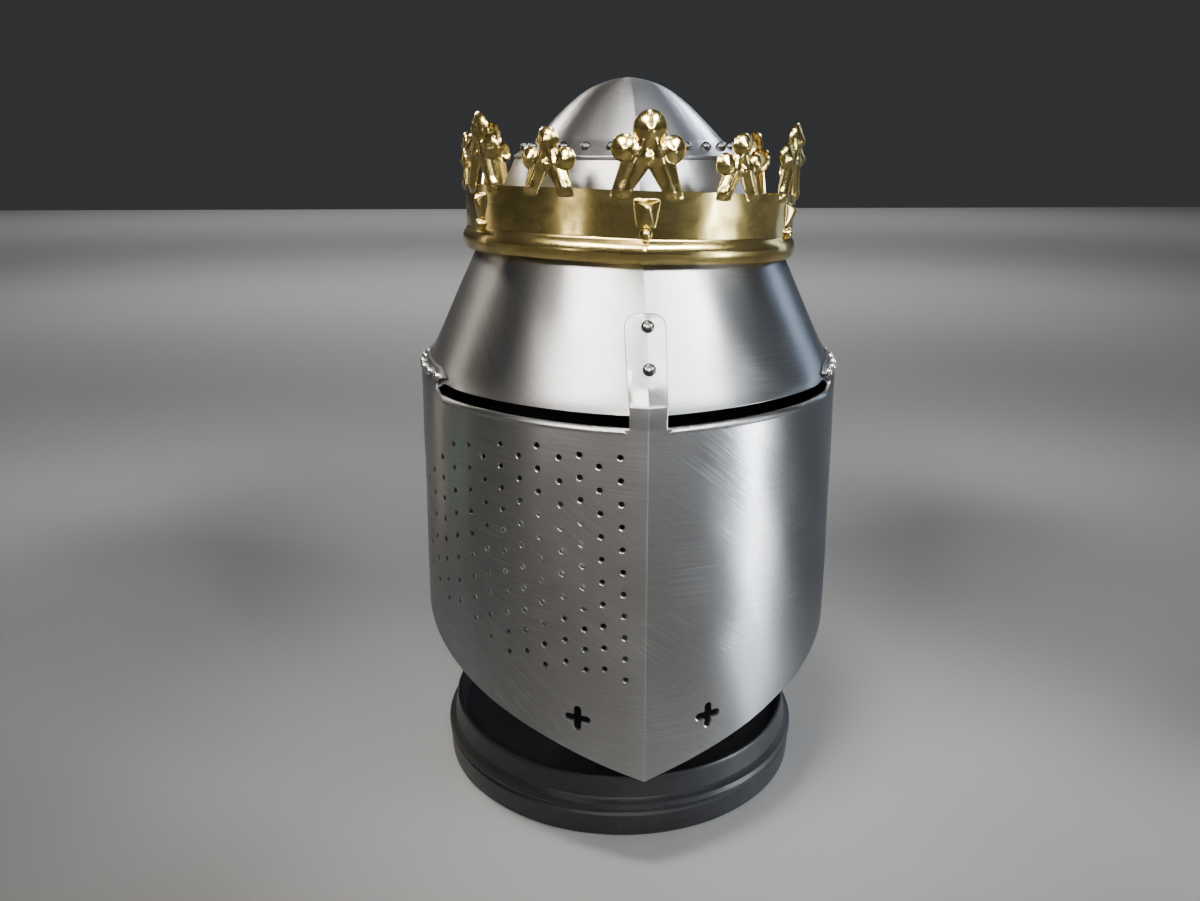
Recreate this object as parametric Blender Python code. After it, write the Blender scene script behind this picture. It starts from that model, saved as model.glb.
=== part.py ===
"""Great helm with a crown, standing on a round moulded base.

The helm is sheet metal. Every plate is drawn flat, as arc length round the helm against height,
and is then laid on the helm's surface and given its thickness. The helm faces -Y. Metres, +Z up.
"""

import math

import bmesh
import bpy
import numpy as np
from mathutils import Matrix, Vector
from mathutils.geometry import delaunay_2d_cdt

# Sheet, gaps and places
GAP = 0.0003                  # left between touching pieces
STEEL = 0.0016                # thickness of the helm's plates
BRASS = 0.0012                # thickness of the crown's sheet
HELM_SHIFT = (0.003, 0.004)   # the helm hangs a little off the middle of its stand

# Plan of the helm: a keeled front and a round back, drawn for a half width of one
HALF_WIDTH = 0.12206          # outside, at the lower edge of the sights
KEEL_OUT = 0.1451             # keel in front of the axis, at the same height
KEEL_ANGLE = math.radians(13.6)
FRONT_GROWTH = 0.657          # share of the front's turn that is even; the rest grows to the side
BACK_GROWTH = 1.385           # the back turns fastest in the middle
PLAN_STEPS = 400

# Heights
POINT_Z = 0.0595              # lowest point of the face plate
NAPE_Z = 0.1115               # lower edge at the sides and back
EDGE_RISE = 0.289             # rise of the lower edge for each metre round the helm
SIGHT_Z = 0.252               # lower edge of the sights
BROW_Z = 0.2582               # upper edge of the sights
LAP_Z = 0.2670                # upper edge of the side laps
SKULL_TOP_Z = 0.3737
APEX_Z = 0.418

# Lower plates
FLARE = 0.0245                # growth of the half width from the sights to the point
SEAM_ARC = 0.205              # arc from the keel to the side seams
LIP_OUT = 0.0009              # turned-out lip below the sights
LIP_DEPTH = 0.0035
SIGHT_START = 0.0095          # arc from the keel to the sights, half the nasal tab's width
SIGHT_ARC = 0.1335            # arc from the keel to the round end of the sights
# The round end and the lap's front edge: arc past SIGHT_ARC, height above SIGHT_Z
SIGHT_END = ((0.0, 0.0), (0.0044, 0.0020), (0.0056, 0.0050), (0.0036, 0.0076), (-0.0020, 0.0096),
             (0.0072, 0.0132))
TAB_BEND = (0.2630, 0.1224)   # height and half width of the bend over the sights
TAB_TOP_Z = 0.3033
TAB_SHOULDER_Z = 0.2970
BEND_STEP = 0.0172            # arc between the plates' bend lines

# Skull
SKULL_SLOPE = 0.4752          # half width lost for each metre of height
SKULL_TOP_WIDTH = 0.0648      # half width at the skull's upper edge
BROW_OUT = 0.0016             # the brow lip stands out this far
BROW_FADE = 0.0040            # height in which most of it is lost
BROW_END = (0.112, 0.130)     # arcs between which the lip dies away
SKULL_FOOT_Z = 0.2545         # lower edge inside the laps

# Breaths, in columns from the keel to the wearer's right: arc from the keel,
# height of the first hole, spacing, number of holes
BREATH_COLUMNS = (
    (0.0137, 0.2375, 0.0119, 11),
    (0.0246, 0.2320, 0.0121, 10),
    (0.0347, 0.2370, 0.0116, 11),
    (0.0457, 0.2345, 0.0123, 10),
    (0.0579, 0.2390, 0.0120, 11),
    (0.0691, 0.2320, 0.0120, 10),
    (0.0809, 0.2360, 0.0116, 11),
    (0.0934, 0.2270, 0.0127, 9),
    (0.1056, 0.2305, 0.0123, 9),
    (0.1195, 0.2280, 0.0130, 8),
    (0.1330, 0.2175, 0.0120, 8),
    (0.1465, 0.2065, 0.0133, 6),
    (0.1590, 0.1980, 0.0133, 5),
)
BREATH_RADIUS = 0.00155
BREATH_SIDES = 6
BREATH_LEAN = 0.030           # the columns lean to the keel as they go down

# Cross-shaped chain holes
CROSS_AT = (0.036, 0.0915)    # arc and height of the centre
CROSS_REACH = 0.0073
CROSS_HALF_ARM = 0.0021

# Dome: half width and height of the outside, from the flange's edge to the apex
DOME_PROFILE = (
    (0.0654, 0.3757),
    (0.0535, 0.3836),
    (0.0476, 0.3900),
    (0.0406, 0.3970),
    (0.0326, 0.4043),
    (0.0218, 0.4118),
    (0.0098, 0.4164),
)
DOME_COLUMNS = 34

# Rivets: radius of the head, height
DOME_RIVET = (0.0028, 0.0027)
NASAL_RIVET = (0.0033, 0.0022)
JOINT_RIVET = (0.0025, 0.0023)
DOME_RIVETS = 28
DOME_RIVET_WIDTH = 0.0590
NASAL_RIVET_Z = (0.2786, 0.2975)
NASAL_RIVET_X = 0.0009        # both sit a little to the wearer's left of the keel
JOINT_RIVET_Z = 0.2612
JOINT_RIVET_START = 0.1392    # arc from the keel to the first
JOINT_RIVET_STEP = 0.01463    # leaves half a step to the middle of the back
JOINT_RIVETS_LOOSE = 5        # on each side, on the face plate; the rest are on the nape plate

# Crown
CROWN_BASE_Z = 0.3224
CROWN_HEIGHT = 0.0347         # from the bead's foot to the band's upper edge
CROWN_WIDTH = 0.0932          # half width outside
CROWN_LEAN = 0.02             # the sheet leans out a little
CROWN_TILT = (math.radians(-1.7), math.radians(1.9))    # front up, wearer's left down
FLEURONS = 12
# Bead: height above the crown's foot, distance outside the band's line
BEAD_PROFILE = ((0.0, 0.0), (0.0055, 0.0020), (0.0110, 0.0))
# Fleurons: lobe height and radius (top, side), side lobe's place, legs' inner and outer feet,
# height of the opening's apex
TALL = {"top": (0.0282, 0.0084), "side": (0.0191, 0.0067), "side_out": 0.0119,
        "feet": (0.0071, 0.0172), "apex": 0.0100}
SHORT = {"top": (0.0224, 0.0062), "side": (0.0136, 0.0056), "side_out": 0.0102,
         "feet": (0.0054, 0.0138), "apex": 0.0070}
LOBE_SIDES = 7
LOBE_RISE = 0.38              # dome of a lobe, as a share of its radius
LEG_RIDGE = 0.0016            # rise of the ridge along each leg
RIDGE_FOOT = 0.0030           # the ridges die out this far down the band
SQUARE_BOSS = (0.0106, 0.0064, 0.0036)    # below the band's edge, half side, rise
ROUND_BOSS = (0.0205, 0.0029, 0.0026)     # below the band's edge, radius, rise

# Stand: radius and height of the turned base, from the outside foot to the recess
BASE_PROFILE = (
    (0.1118, 0.0000),
    (0.1130, 0.0014),
    (0.1132, 0.0140),
    (0.1116, 0.0156),
    (0.1142, 0.0190),
    (0.1110, 0.0236),
    (0.1092, 0.0290),
    (0.1084, 0.0352),
    (0.1074, 0.0366),
    (0.1054, 0.0358),
    (0.1034, 0.0260),
    (0.1010, 0.0240),
)
BASE_SIDES = 36
POST_RADIUS = 0.018
POST_BELOW_APEX = 0.0028      # the dome rests on it, a little off its middle
POST_SIDES = 16

# Finishes: colour, roughness, metallic
FINISHES = {
    "brushed_steel": ((0.56, 0.56, 0.57), 0.32, 1.0),
    "dark_rivet_steel": ((0.22, 0.22, 0.23), 0.30, 1.0),
    "polished_brass": ((0.78, 0.60, 0.22), 0.18, 1.0),
    "base_paint": ((0.045, 0.047, 0.052), 0.42, 0.3),
    "post_paint": ((0.03, 0.03, 0.03), 0.60, 0.0),
}


def quarter(start_angle, growth):
    """Runs from the middle line to the side while the heading turns from start_angle to a right
    angle. Returns arc, across and along, for a half width of one."""
    share = np.linspace(0.0, 1.0, PLAN_STEPS)
    heading = start_angle + (math.pi / 2 - start_angle) * (growth * share + (1 - growth) * share ** 2)
    middle = (heading[1:] + heading[:-1]) / 2
    across = np.concatenate(([0.0], np.cumsum(np.cos(middle))))
    along = np.concatenate(([0.0], np.cumsum(np.sin(middle))))
    scale = across[-1]
    return share * (PLAN_STEPS - 1) / scale, across / scale, along / scale


def plan_line():
    """The right half of the plan for a half width of one, from the keel round to the back."""
    front_arc, front_x, front_y = quarter(KEEL_ANGLE, FRONT_GROWTH)
    back_arc, back_x, back_y = quarter(0.0, BACK_GROWTH)
    front_y = front_y - KEEL_OUT / HALF_WIDTH
    back_y = front_y[-1] + back_y[-1] - back_y
    arc = np.concatenate((front_arc, front_arc[-1] + back_arc[-1] - back_arc[-2::-1]))
    return arc, np.concatenate((front_x, back_x[-2::-1])), np.concatenate((front_y, back_y[-2::-1]))


PLAN_ARC, PLAN_X, PLAN_Y = plan_line()
HALF_GIRTH = PLAN_ARC[-1] * HALF_WIDTH


def around(arc, width, height):
    """Points of the helm: signed arc from the keel (measured at the sights), half width, height."""
    share = np.abs(arc) / HALF_WIDTH
    x = np.sign(arc) * np.interp(share, PLAN_ARC, PLAN_X) * width
    y = np.interp(share, PLAN_ARC, PLAN_Y) * width
    return np.stack([x + HELM_SHIFT[0], y + HELM_SHIFT[1], np.broadcast_to(height, x.shape)], -1)


def skull_width(height):
    """Half width of the skull's outside, without the brow lip."""
    return SKULL_TOP_WIDTH + SKULL_SLOPE * (SKULL_TOP_Z - height)


def brow_out(arc, height):
    """How far the brow lip stands out of the skull."""
    start, end = BROW_END
    fade = np.clip((end - np.abs(arc)) / (end - start), 0.0, 1.0)
    return BROW_OUT * fade * np.exp(-np.maximum(height - BROW_Z, 0.0) / BROW_FADE)


def lower_edge(arc):
    """Height of the face plate's lower edge, straight on the flat sheet and then level."""
    return np.minimum(POINT_Z + EDGE_RISE * np.abs(arc), NAPE_Z)


BROW_ROWS = (BROW_Z, BROW_Z + BROW_FADE, BROW_Z + 3 * BROW_FADE)
LAP_OUT = (GAP + STEEL) * math.hypot(1, SKULL_SLOPE)
WALL_INSIDE = HALF_WIDTH - STEEL - GAP
LAP_BEND_Z = SKULL_TOP_Z - (HALF_WIDTH - LAP_OUT - SKULL_TOP_WIDTH) / SKULL_SLOPE
# The nasal tab's outside: height and half width
TAB_PROFILE = ((SIGHT_Z, HALF_WIDTH), (BROW_Z, skull_width(BROW_Z) + BROW_OUT + LAP_OUT), TAB_BEND,
               (BROW_ROWS[2], skull_width(BROW_ROWS[2]) + LAP_OUT), (TAB_TOP_Z, skull_width(TAB_TOP_Z) + LAP_OUT))


def plate_width(arc, height):
    """Half width of the lower plates' outside: the flared wall, and above the sights the lap."""
    arc, height = np.broadcast_arrays(arc, height)
    below = (SIGHT_Z - height) / (SIGHT_Z - POINT_Z)
    in_sight = (np.abs(arc) < SIGHT_ARC) & (np.abs(arc) >= SIGHT_START)
    lip = np.where(in_sight, LIP_OUT * np.clip(1 - (SIGHT_Z - height) / LIP_DEPTH, 0.0, 1.0), 0.0)
    wall = HALF_WIDTH * (1 + FLARE * below) + lip
    lap = np.minimum(wall, skull_width(height) + LAP_OUT)
    tab = np.interp(height, *zip(*TAB_PROFILE))
    return np.where(height <= SIGHT_Z, wall, np.where(np.abs(arc) < SIGHT_ARC / 2, tab, lap))


def finish(name, material):
    """A Principled material of the part's colour, made once."""
    found = bpy.data.materials.get(material)
    if found is None:
        colour, roughness, metallic = FINISHES[material]
        found = bpy.data.materials.new(material)
        found.use_nodes = True
        shader = found.node_tree.nodes["Principled BSDF"]
        shader.inputs["Base Color"].default_value = (*colour, 1.0)
        shader.inputs["Roughness"].default_value = roughness
        shader.inputs["Metallic"].default_value = metallic
        found.diffuse_color = (*colour, 1.0)
    bpy.data.objects[name].data.materials.append(found)


def add_mesh(name, points, faces, material, sharp=30.0):
    """One object from points and faces, shaded smooth up to the sharp angle in degrees."""
    mesh = bpy.data.meshes.new(name)
    mesh.from_pydata([tuple(map(float, point)) for point in points], [], faces)
    mesh.validate()
    mesh.shade_smooth()
    mesh.set_sharp_from_angle(angle=math.radians(sharp))
    bpy.context.scene.collection.objects.link(bpy.data.objects.new(name, mesh))
    finish(name, material)
    return bpy.data.objects[name]


def closed_sheet(name, outside, inside, faces, material):
    """A sheet with its thickness: the two skins and a wall along every free edge."""
    count = len(outside)
    used = {}
    for face in faces:
        for start, end in zip(face, face[1:] + face[:1]):
            used[(start, end)] = True
    walls = [(end, start, start + count, end + count)
             for start, end in used if (end, start) not in used]
    back = [tuple(index + count for index in reversed(face)) for face in faces]
    return add_mesh(name, np.concatenate((outside, inside)), faces + back + walls, material)


def contains(loop, points):
    """Which points lie inside a closed loop."""
    x, y = points[:, 0, None], points[:, 1, None]
    start, end = loop, np.roll(loop, -1, axis=0)
    rises = (start[:, 1] > y) != (end[:, 1] > y)
    run = np.where(end[:, 1] == start[:, 1], 1.0, end[:, 1] - start[:, 1])
    crossing = start[:, 0] + (y - start[:, 1]) * (end[:, 0] - start[:, 0]) / run
    return (np.sum(rises & (x < crossing), axis=1) % 2).astype(bool)


def cut_sheet(solids, holes, lines=(), spots=()):
    """A flat sheet, the union of the solid loops less the holes, in triangles whose edges follow
    the loops and the bend lines. Returns its points and triangles."""
    points, edges = [], []
    for path, closed in [(p, True) for p in (*solids, *holes)] + [(p, False) for p in lines]:
        first = len(points)
        points += [Vector((float(x), float(y))) for x, y in path]
        edges += [(i, i + 1) for i in range(first, len(points) - 1)]
        if closed:
            edges.append((len(points) - 1, first))
    points += [Vector((float(x), float(y))) for x, y in spots]
    flat, _, triangles, *_ = delaunay_2d_cdt(points, edges, [], 0, 1e-7)
    flat = np.array([tuple(point) for point in flat])
    triangles = np.array([tuple(face) for face in triangles])
    middle = flat[triangles].mean(axis=1)
    kept = np.zeros(len(triangles), bool)
    for loop in solids:
        kept |= contains(np.asarray(loop), middle)
    for loop in holes:
        kept &= ~contains(np.asarray(loop), middle)
    triangles = triangles[kept]
    a, b, c = (flat[triangles[:, corner]] for corner in range(3))
    area = (b[:, 0] - a[:, 0]) * (c[:, 1] - a[:, 1]) - (b[:, 1] - a[:, 1]) * (c[:, 0] - a[:, 0])
    triangles[area < 0] = triangles[area < 0][:, ::-1]
    used = np.unique(triangles)
    renumber = np.zeros(len(flat), int)
    renumber[used] = np.arange(len(used))
    return flat[used], [tuple(int(i) for i in face) for face in renumber[triangles]]


def ring_points(centre, radius, sides, turn=0.0):
    """A regular loop about a centre."""
    angle = turn + np.arange(sides) * 2 * math.pi / sides
    return np.stack([centre[0] + radius * np.cos(angle), centre[1] + radius * np.sin(angle)], -1)


def cross_loop(centre):
    """A cross with round arm ends."""
    arm = CROSS_HALF_ARM
    reach = CROSS_REACH - arm
    end = [(reach + arm * math.cos(t), arm * math.sin(t)) for t in np.radians((-90, -35, 35, 90))]
    loop = []
    for quarter_turn in range(4):
        angle = quarter_turn * math.pi / 2
        corner = [*end, (arm, arm)]
        loop += [(centre[0] + x * math.cos(angle) - y * math.sin(angle),
                  centre[1] + x * math.sin(angle) + y * math.cos(angle)) for x, y in corner]
    return loop


def breath_holes():
    """The breaths, all on the wearer's right."""
    holes = []
    for arc, first, step, count in BREATH_COLUMNS:
        for row in range(count):
            height = first - row * step
            place = arc - BREATH_LEAN * (BREATH_COLUMNS[0][1] - height)
            holes.append(ring_points((-place, height), BREATH_RADIUS, BREATH_SIDES, math.pi / 6))
    return holes


def bend_arcs():
    """Arcs of the bend lines between the keel and the seam."""
    count = round(SEAM_ARC / BEND_STEP)
    return np.linspace(0.0, SEAM_ARC, count + 1)[1:-1]


def breath_bends():
    """Bend lines that run between the columns of breaths, as pairs of arcs at two heights."""
    arcs = [column[0] for column in BREATH_COLUMNS]
    between = [(a + b) / 2 for a, b in zip(arcs, arcs[1:])]
    return [*between, between[-1] + BEND_STEP * 0.85, between[-1] + BEND_STEP * 1.7]


def build_face_plate():
    """The keeled lower front plate, with the nasal tab, the sights, the breaths and the crosses."""
    half_seam = SEAM_ARC - GAP / 2
    right = bend_arcs()
    left = -np.array(breath_bends())
    lean = BREATH_LEAN * (BREATH_COLUMNS[0][1] - POINT_Z)
    left_low = left + lean * (np.abs(left) < BREATH_COLUMNS[-1][0])
    sight_bends = [arc for arc in right if SIGHT_START + 0.004 < arc < SIGHT_ARC - 0.004]
    sight_end = [(SIGHT_ARC + out, SIGHT_Z + up) for out, up in SIGHT_END]
    lap_bends = [arc for arc in right if arc > SIGHT_ARC + SIGHT_END[-1][0] + 0.006]
    tab_rows = ((SIGHT_Z, 1.0), (BROW_Z, 1.0), (TAB_BEND[0], 1.02), (BROW_ROWS[2], 1.06),
                (TAB_SHOULDER_Z, 1.16), (TAB_TOP_Z - 0.0014, 0.75))
    tab_side = [(SIGHT_START * share * HALF_WIDTH / plate_width(0.0, z), z) for z, share in tab_rows]

    upper = [(half_seam, LAP_BEND_Z), (half_seam, LAP_Z)]
    upper += [(arc, LAP_Z) for arc in reversed(lap_bends)]
    upper += list(reversed(sight_end))
    upper += [(arc, SIGHT_Z) for arc in reversed(sight_bends)] + tab_side
    right_low = [(arc, lower_edge(arc)) for arc in (*right, half_seam)]
    left_edge = [(arc, lower_edge(arc)) for arc in (-half_seam, *left_low[::-1])]
    left_upper = [(-x, z) for x, z in reversed(upper)]
    outline = [(0.0, POINT_Z), *right_low, *upper, (0.0, TAB_TOP_Z), *left_upper, *left_edge]

    lines = [[(0.0, POINT_Z), (0.0, SIGHT_Z - LIP_DEPTH), (0.0, SIGHT_Z),
              *((0.0, z) for z, _ in TAB_PROFILE[1:4]), (0.0, TAB_SHOULDER_Z), (0.0, TAB_TOP_Z)]]
    lines += [[(arc, lower_edge(arc)), (arc, SIGHT_Z - LIP_DEPTH), (arc, SIGHT_Z)] for arc in right]
    lines += [[(low, lower_edge(low)), (top, SIGHT_Z - LIP_DEPTH)] for low, top in zip(left_low, left)]
    lines += [[(sign * arc, SIGHT_Z), (sign * arc, LAP_BEND_Z), (sign * arc, LAP_Z)]
              for arc in lap_bends for sign in (-1, 1)]
    for sign in (-1, 1):
        lines.append([(sign * (SIGHT_ARC + 0.0070), LAP_BEND_Z), (sign * half_seam, LAP_BEND_Z)])
        lines.append([(sign * SIGHT_START, SIGHT_Z - LIP_DEPTH), (sign * SIGHT_ARC, SIGHT_Z - LIP_DEPTH)])
    lines += [[(-x, height), (x, height)] for x, height in tab_side[:-2]]

    crosses = [cross_loop((sign * CROSS_AT[0], CROSS_AT[1])) for sign in (-1, 1)]
    flat, triangles = cut_sheet([outline], [*breath_holes(), *crosses], lines)
    arc, height = flat[:, 0], flat[:, 1]
    width = plate_width(arc, height)
    closed_sheet("face_plate", around(arc, width, height), around(arc, width - STEEL, height),
                 triangles, "brushed_steel")


def joint_rivet_arcs():
    """Arcs of the rivets of the laps, from the sights round to the back of one side."""
    count = int((HALF_GIRTH - JOINT_RIVET_START) / JOINT_RIVET_STEP) + 1
    return JOINT_RIVET_START + JOINT_RIVET_STEP * np.arange(count)


def build_nape_plate():
    """The lower back plate, with the rivet heads of its own stretch of the lap."""
    start, end = SEAM_ARC + GAP / 2, 2 * HALF_GIRTH - SEAM_ARC - GAP / 2
    bends = np.linspace(start, end, 2 * round((HALF_GIRTH - SEAM_ARC) / BEND_STEP) + 1)
    rows = [NAPE_Z, LAP_BEND_Z, LAP_Z]
    outline = [(arc, NAPE_Z) for arc in bends] + [(end, LAP_BEND_Z)]
    outline += [(arc, LAP_Z) for arc in bends[::-1]] + [(start, LAP_BEND_Z)]
    lines = [[(arc, height) for height in rows] for arc in bends[1:-1]]
    lines.append([(start, LAP_BEND_Z), (end, LAP_BEND_Z)])
    arcs = joint_rivet_arcs()[JOINT_RIVETS_LOOSE:]
    centres = [(arc, JOINT_RIVET_Z) for arc in (*arcs, *(2 * HALF_GIRTH - arcs[::-1]))]
    radius, rise = JOINT_RIVET
    feet = [[*ring, ring[0]] for ring in (ring_points(centre, radius, 6) for centre in centres)]
    flat, triangles = cut_sheet([outline], [], [*lines, *feet], centres)
    arc, height = flat[:, 0], flat[:, 1]
    away = np.min([np.hypot(arc - x, height - z) for x, z in centres], axis=0)
    head = rise * np.sqrt(np.clip(1 - (away / radius) ** 2, 0.0, 1.0))
    signed = np.where(arc > HALF_GIRTH, arc - 2 * HALF_GIRTH, arc)
    width = plate_width(signed, height)
    outside = around(signed, width + head, height + head * SKULL_SLOPE)
    closed_sheet("nape_plate", outside, around(signed, width - STEEL, height), triangles, "brushed_steel")


def skull_half(name, arcs):
    """Half of the skull: the brow or foot, the slope, and the edge turned in under the dome."""
    front = np.abs(arcs) < SIGHT_ARC
    wall = [np.where(front, brow, side) for brow, side in zip(BROW_ROWS, (SKULL_FOOT_Z, LAP_BEND_Z, LAP_Z))]
    wall.append(np.full_like(arcs, SKULL_TOP_Z))
    edge, rise = DOME_PROFILE[0], DOME_PROFILE[1]
    turned_in = 0.0105
    flange_z = SKULL_TOP_Z + turned_in * (rise[1] - edge[1]) / (edge[0] - rise[0])
    outside, inside = [], []
    for height in wall:
        width = skull_width(height) + brow_out(arcs, height)
        width = np.where(front, width, np.minimum(width, WALL_INSIDE))
        drop = STEEL * 0.9 if height is wall[-1] else 0.0
        outside.append(around(arcs, width, height))
        inside.append(around(arcs, width - STEEL, height - drop))
    outside.append(around(arcs, SKULL_TOP_WIDTH - turned_in, flange_z))
    inside.append(around(arcs, SKULL_TOP_WIDTH - turned_in, flange_z - STEEL * 1.1))
    columns, rows = len(arcs), len(outside)
    faces = [(row * columns + i, row * columns + i + 1, (row + 1) * columns + i + 1, (row + 1) * columns + i)
             for row in range(rows - 1) for i in range(columns - 1)]
    closed_sheet(name, np.concatenate(outside), np.concatenate(inside), faces, "brushed_steel")


def build_skull():
    """The two halves of the skull, which meet at the sides."""
    half_seam = SEAM_ARC - GAP / 2
    side = [*bend_arcs(), half_seam]
    brow = [arc for arc in side if arc < SIGHT_ARC - 0.004]
    lap = [arc for arc in side if arc > SIGHT_ARC + 0.008]
    side = np.array([*brow, SIGHT_ARC - 0.0005, SIGHT_ARC + 0.004, *lap])
    skull_half("skull_front", np.concatenate((-side[::-1], [0.0], side)))
    back = np.linspace(SEAM_ARC + GAP / 2, HALF_GIRTH, round((HALF_GIRTH - SEAM_ARC) / BEND_STEP) + 1)
    skull_half("skull_back", np.concatenate((back, -back[-2::-1])))


def build_dome():
    """The pointed top plate with its flange, a closed cap."""
    arcs = np.linspace(-HALF_GIRTH, HALF_GIRTH, DOME_COLUMNS, endpoint=False)
    profile = np.array(DOME_PROFILE)
    step = np.gradient(profile, axis=0)
    normal = np.stack([step[:, 1], -step[:, 0]], -1) / np.hypot(step[:, 0], step[:, 1])[:, None]
    normal[0] = (0.7, 0.9)
    under = profile - normal * STEEL
    skins = []
    for widths_heights, apex in ((profile, APEX_Z), (under, APEX_Z - STEEL * 1.05)):
        rows = [around(arcs, width, np.full_like(arcs, height)) for width, height in widths_heights]
        skins.append(np.concatenate((*rows, [(HELM_SHIFT[0], HELM_SHIFT[1], apex)])))
    columns, rows = DOME_COLUMNS, len(profile)
    faces = [(row * columns + i, row * columns + (i + 1) % columns,
              (row + 1) * columns + (i + 1) % columns, (row + 1) * columns + i)
             for row in range(rows - 1) for i in range(columns)]
    last = (rows - 1) * columns
    faces += [(last + i, last + (i + 1) % columns, rows * columns) for i in range(columns)]
    closed_sheet("dome_cap", skins[0], skins[1], faces, "brushed_steel")


def rivet_mesh(name, radius, rise):
    """A domed head with its flat side down, on the origin."""
    sides = 6
    rings = [(radius, 0.0), (radius * 0.78, rise * 0.66)]
    points = [(r * math.cos(t), r * math.sin(t), z) for r, z in rings
              for t in np.arange(sides) * 2 * math.pi / sides]
    points.append((0.0, 0.0, rise))
    faces = [tuple(range(sides))[::-1]]
    faces += [(ring * sides + i, ring * sides + (i + 1) % sides,
               (ring + 1) * sides + (i + 1) % sides, (ring + 1) * sides + i)
              for ring in range(len(rings) - 1) for i in range(sides)]
    last = (len(rings) - 1) * sides
    faces += [(last + i, last + (i + 1) % sides, last + sides) for i in range(sides)]
    mesh = bpy.data.meshes.new(name)
    mesh.from_pydata(points, [], faces)
    mesh.shade_smooth()
    return mesh


def seat_rivet(name, mesh, place, normal, material):
    """One rivet with its flat side on the plate, the gap apart."""
    rivet = bpy.data.objects.new(name, mesh)
    bpy.context.scene.collection.objects.link(rivet)
    normal = Vector(normal).normalized()
    rivet.matrix_world = (Matrix.Translation(Vector(place) + normal * GAP)
                          @ normal.to_track_quat("Z", "Y").to_matrix().to_4x4())
    if not mesh.materials:
        finish(name, material)


def surface_normal(surface, arc, height):
    """Outward normal of a surface given as a function of arc and height."""
    small = 0.0005
    spots = surface(np.array([arc + small, arc - small, arc, arc]),
                    np.array([height, height, height + small, height - small]))
    return np.cross(spots[0] - spots[1], spots[2] - spots[3])


def build_rivets():
    """The loose rivets: round the dome, on the nasal tab and at the ends of the laps."""
    dome = rivet_mesh("dome_rivet_head", *DOME_RIVET)
    low, high = DOME_PROFILE[0], DOME_PROFILE[1]
    slope = (high[1] - low[1]) / (low[0] - high[0])

    def flange(arc, width):
        return around(arc, width, low[1] + (low[0] - width) * slope)

    for number in range(DOME_RIVETS):
        arc = -HALF_GIRTH + (number + 1) * 2 * HALF_GIRTH / DOME_RIVETS
        place = flange(np.array([arc]), np.array([DOME_RIVET_WIDTH]))[0]
        normal = -surface_normal(flange, arc, DOME_RIVET_WIDTH)
        seat_rivet(f"dome_rivet_{number + 1:02d}", dome, place, normal, "dark_rivet_steel")

    def plate(arc, height):
        return around(arc, plate_width(arc, height), height)

    nasal = rivet_mesh("nasal_rivet_head", *NASAL_RIVET)
    for number, height in enumerate(NASAL_RIVET_Z):
        place = plate(np.array([0.0]), np.array([height]))[0] + (NASAL_RIVET_X, 0.0, 0.0)
        seat_rivet(f"nasal_rivet_{number + 1}", nasal, place, (0.0, -1.0, SKULL_SLOPE), "brushed_steel")

    joint = rivet_mesh("joint_rivet_head", *JOINT_RIVET)
    for side, sign in (("r", -1), ("l", 1)):
        for number, arc in enumerate(joint_rivet_arcs()[:JOINT_RIVETS_LOOSE]):
            place = plate(np.array([sign * arc]), np.array([JOINT_RIVET_Z]))[0]
            normal = surface_normal(plate, sign * arc, JOINT_RIVET_Z)
            seat_rivet(f"joint_rivet_{side}{number + 1}", joint, place, normal, "brushed_steel")


def fleuron_loops(sizes, middle):
    """Solid loops, the opening, the ridges and the bosses of one fleuron about its middle line."""
    rim = CROWN_HEIGHT
    top_height, top_radius = sizes["top"]
    side_height, side_radius = sizes["side"]
    inner, outer = sizes["feet"]
    solids = [ring_points((middle, rim + top_height), top_radius, LOBE_SIDES, math.pi / LOBE_SIDES)]
    bosses = [(middle, rim + top_height, top_radius, top_radius * LOBE_RISE)]
    ridges = []
    for sign in (-1, 1):
        centre = (middle + sign * sizes["side_out"], rim + side_height)
        solids.append(ring_points(centre, side_radius, LOBE_SIDES, math.pi / LOBE_SIDES))
        bosses.append((*centre, side_radius, side_radius * LOBE_RISE))
        foot_in, foot_out = (middle + sign * inner, rim), (middle + sign * outer, rim)
        leg = [foot_in, foot_out, centre, (middle, rim + top_height), (middle, rim + sizes["apex"])]
        solids.append(leg if sign > 0 else leg[::-1])
        foot = middle + sign * (inner + outer) / 2
        ridges.append([(foot, rim - RIDGE_FOOT), (foot, rim),
                       (middle + sign * sizes["side_out"] / 2, rim + side_height * 0.75)])
    return solids, ridges, bosses


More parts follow.
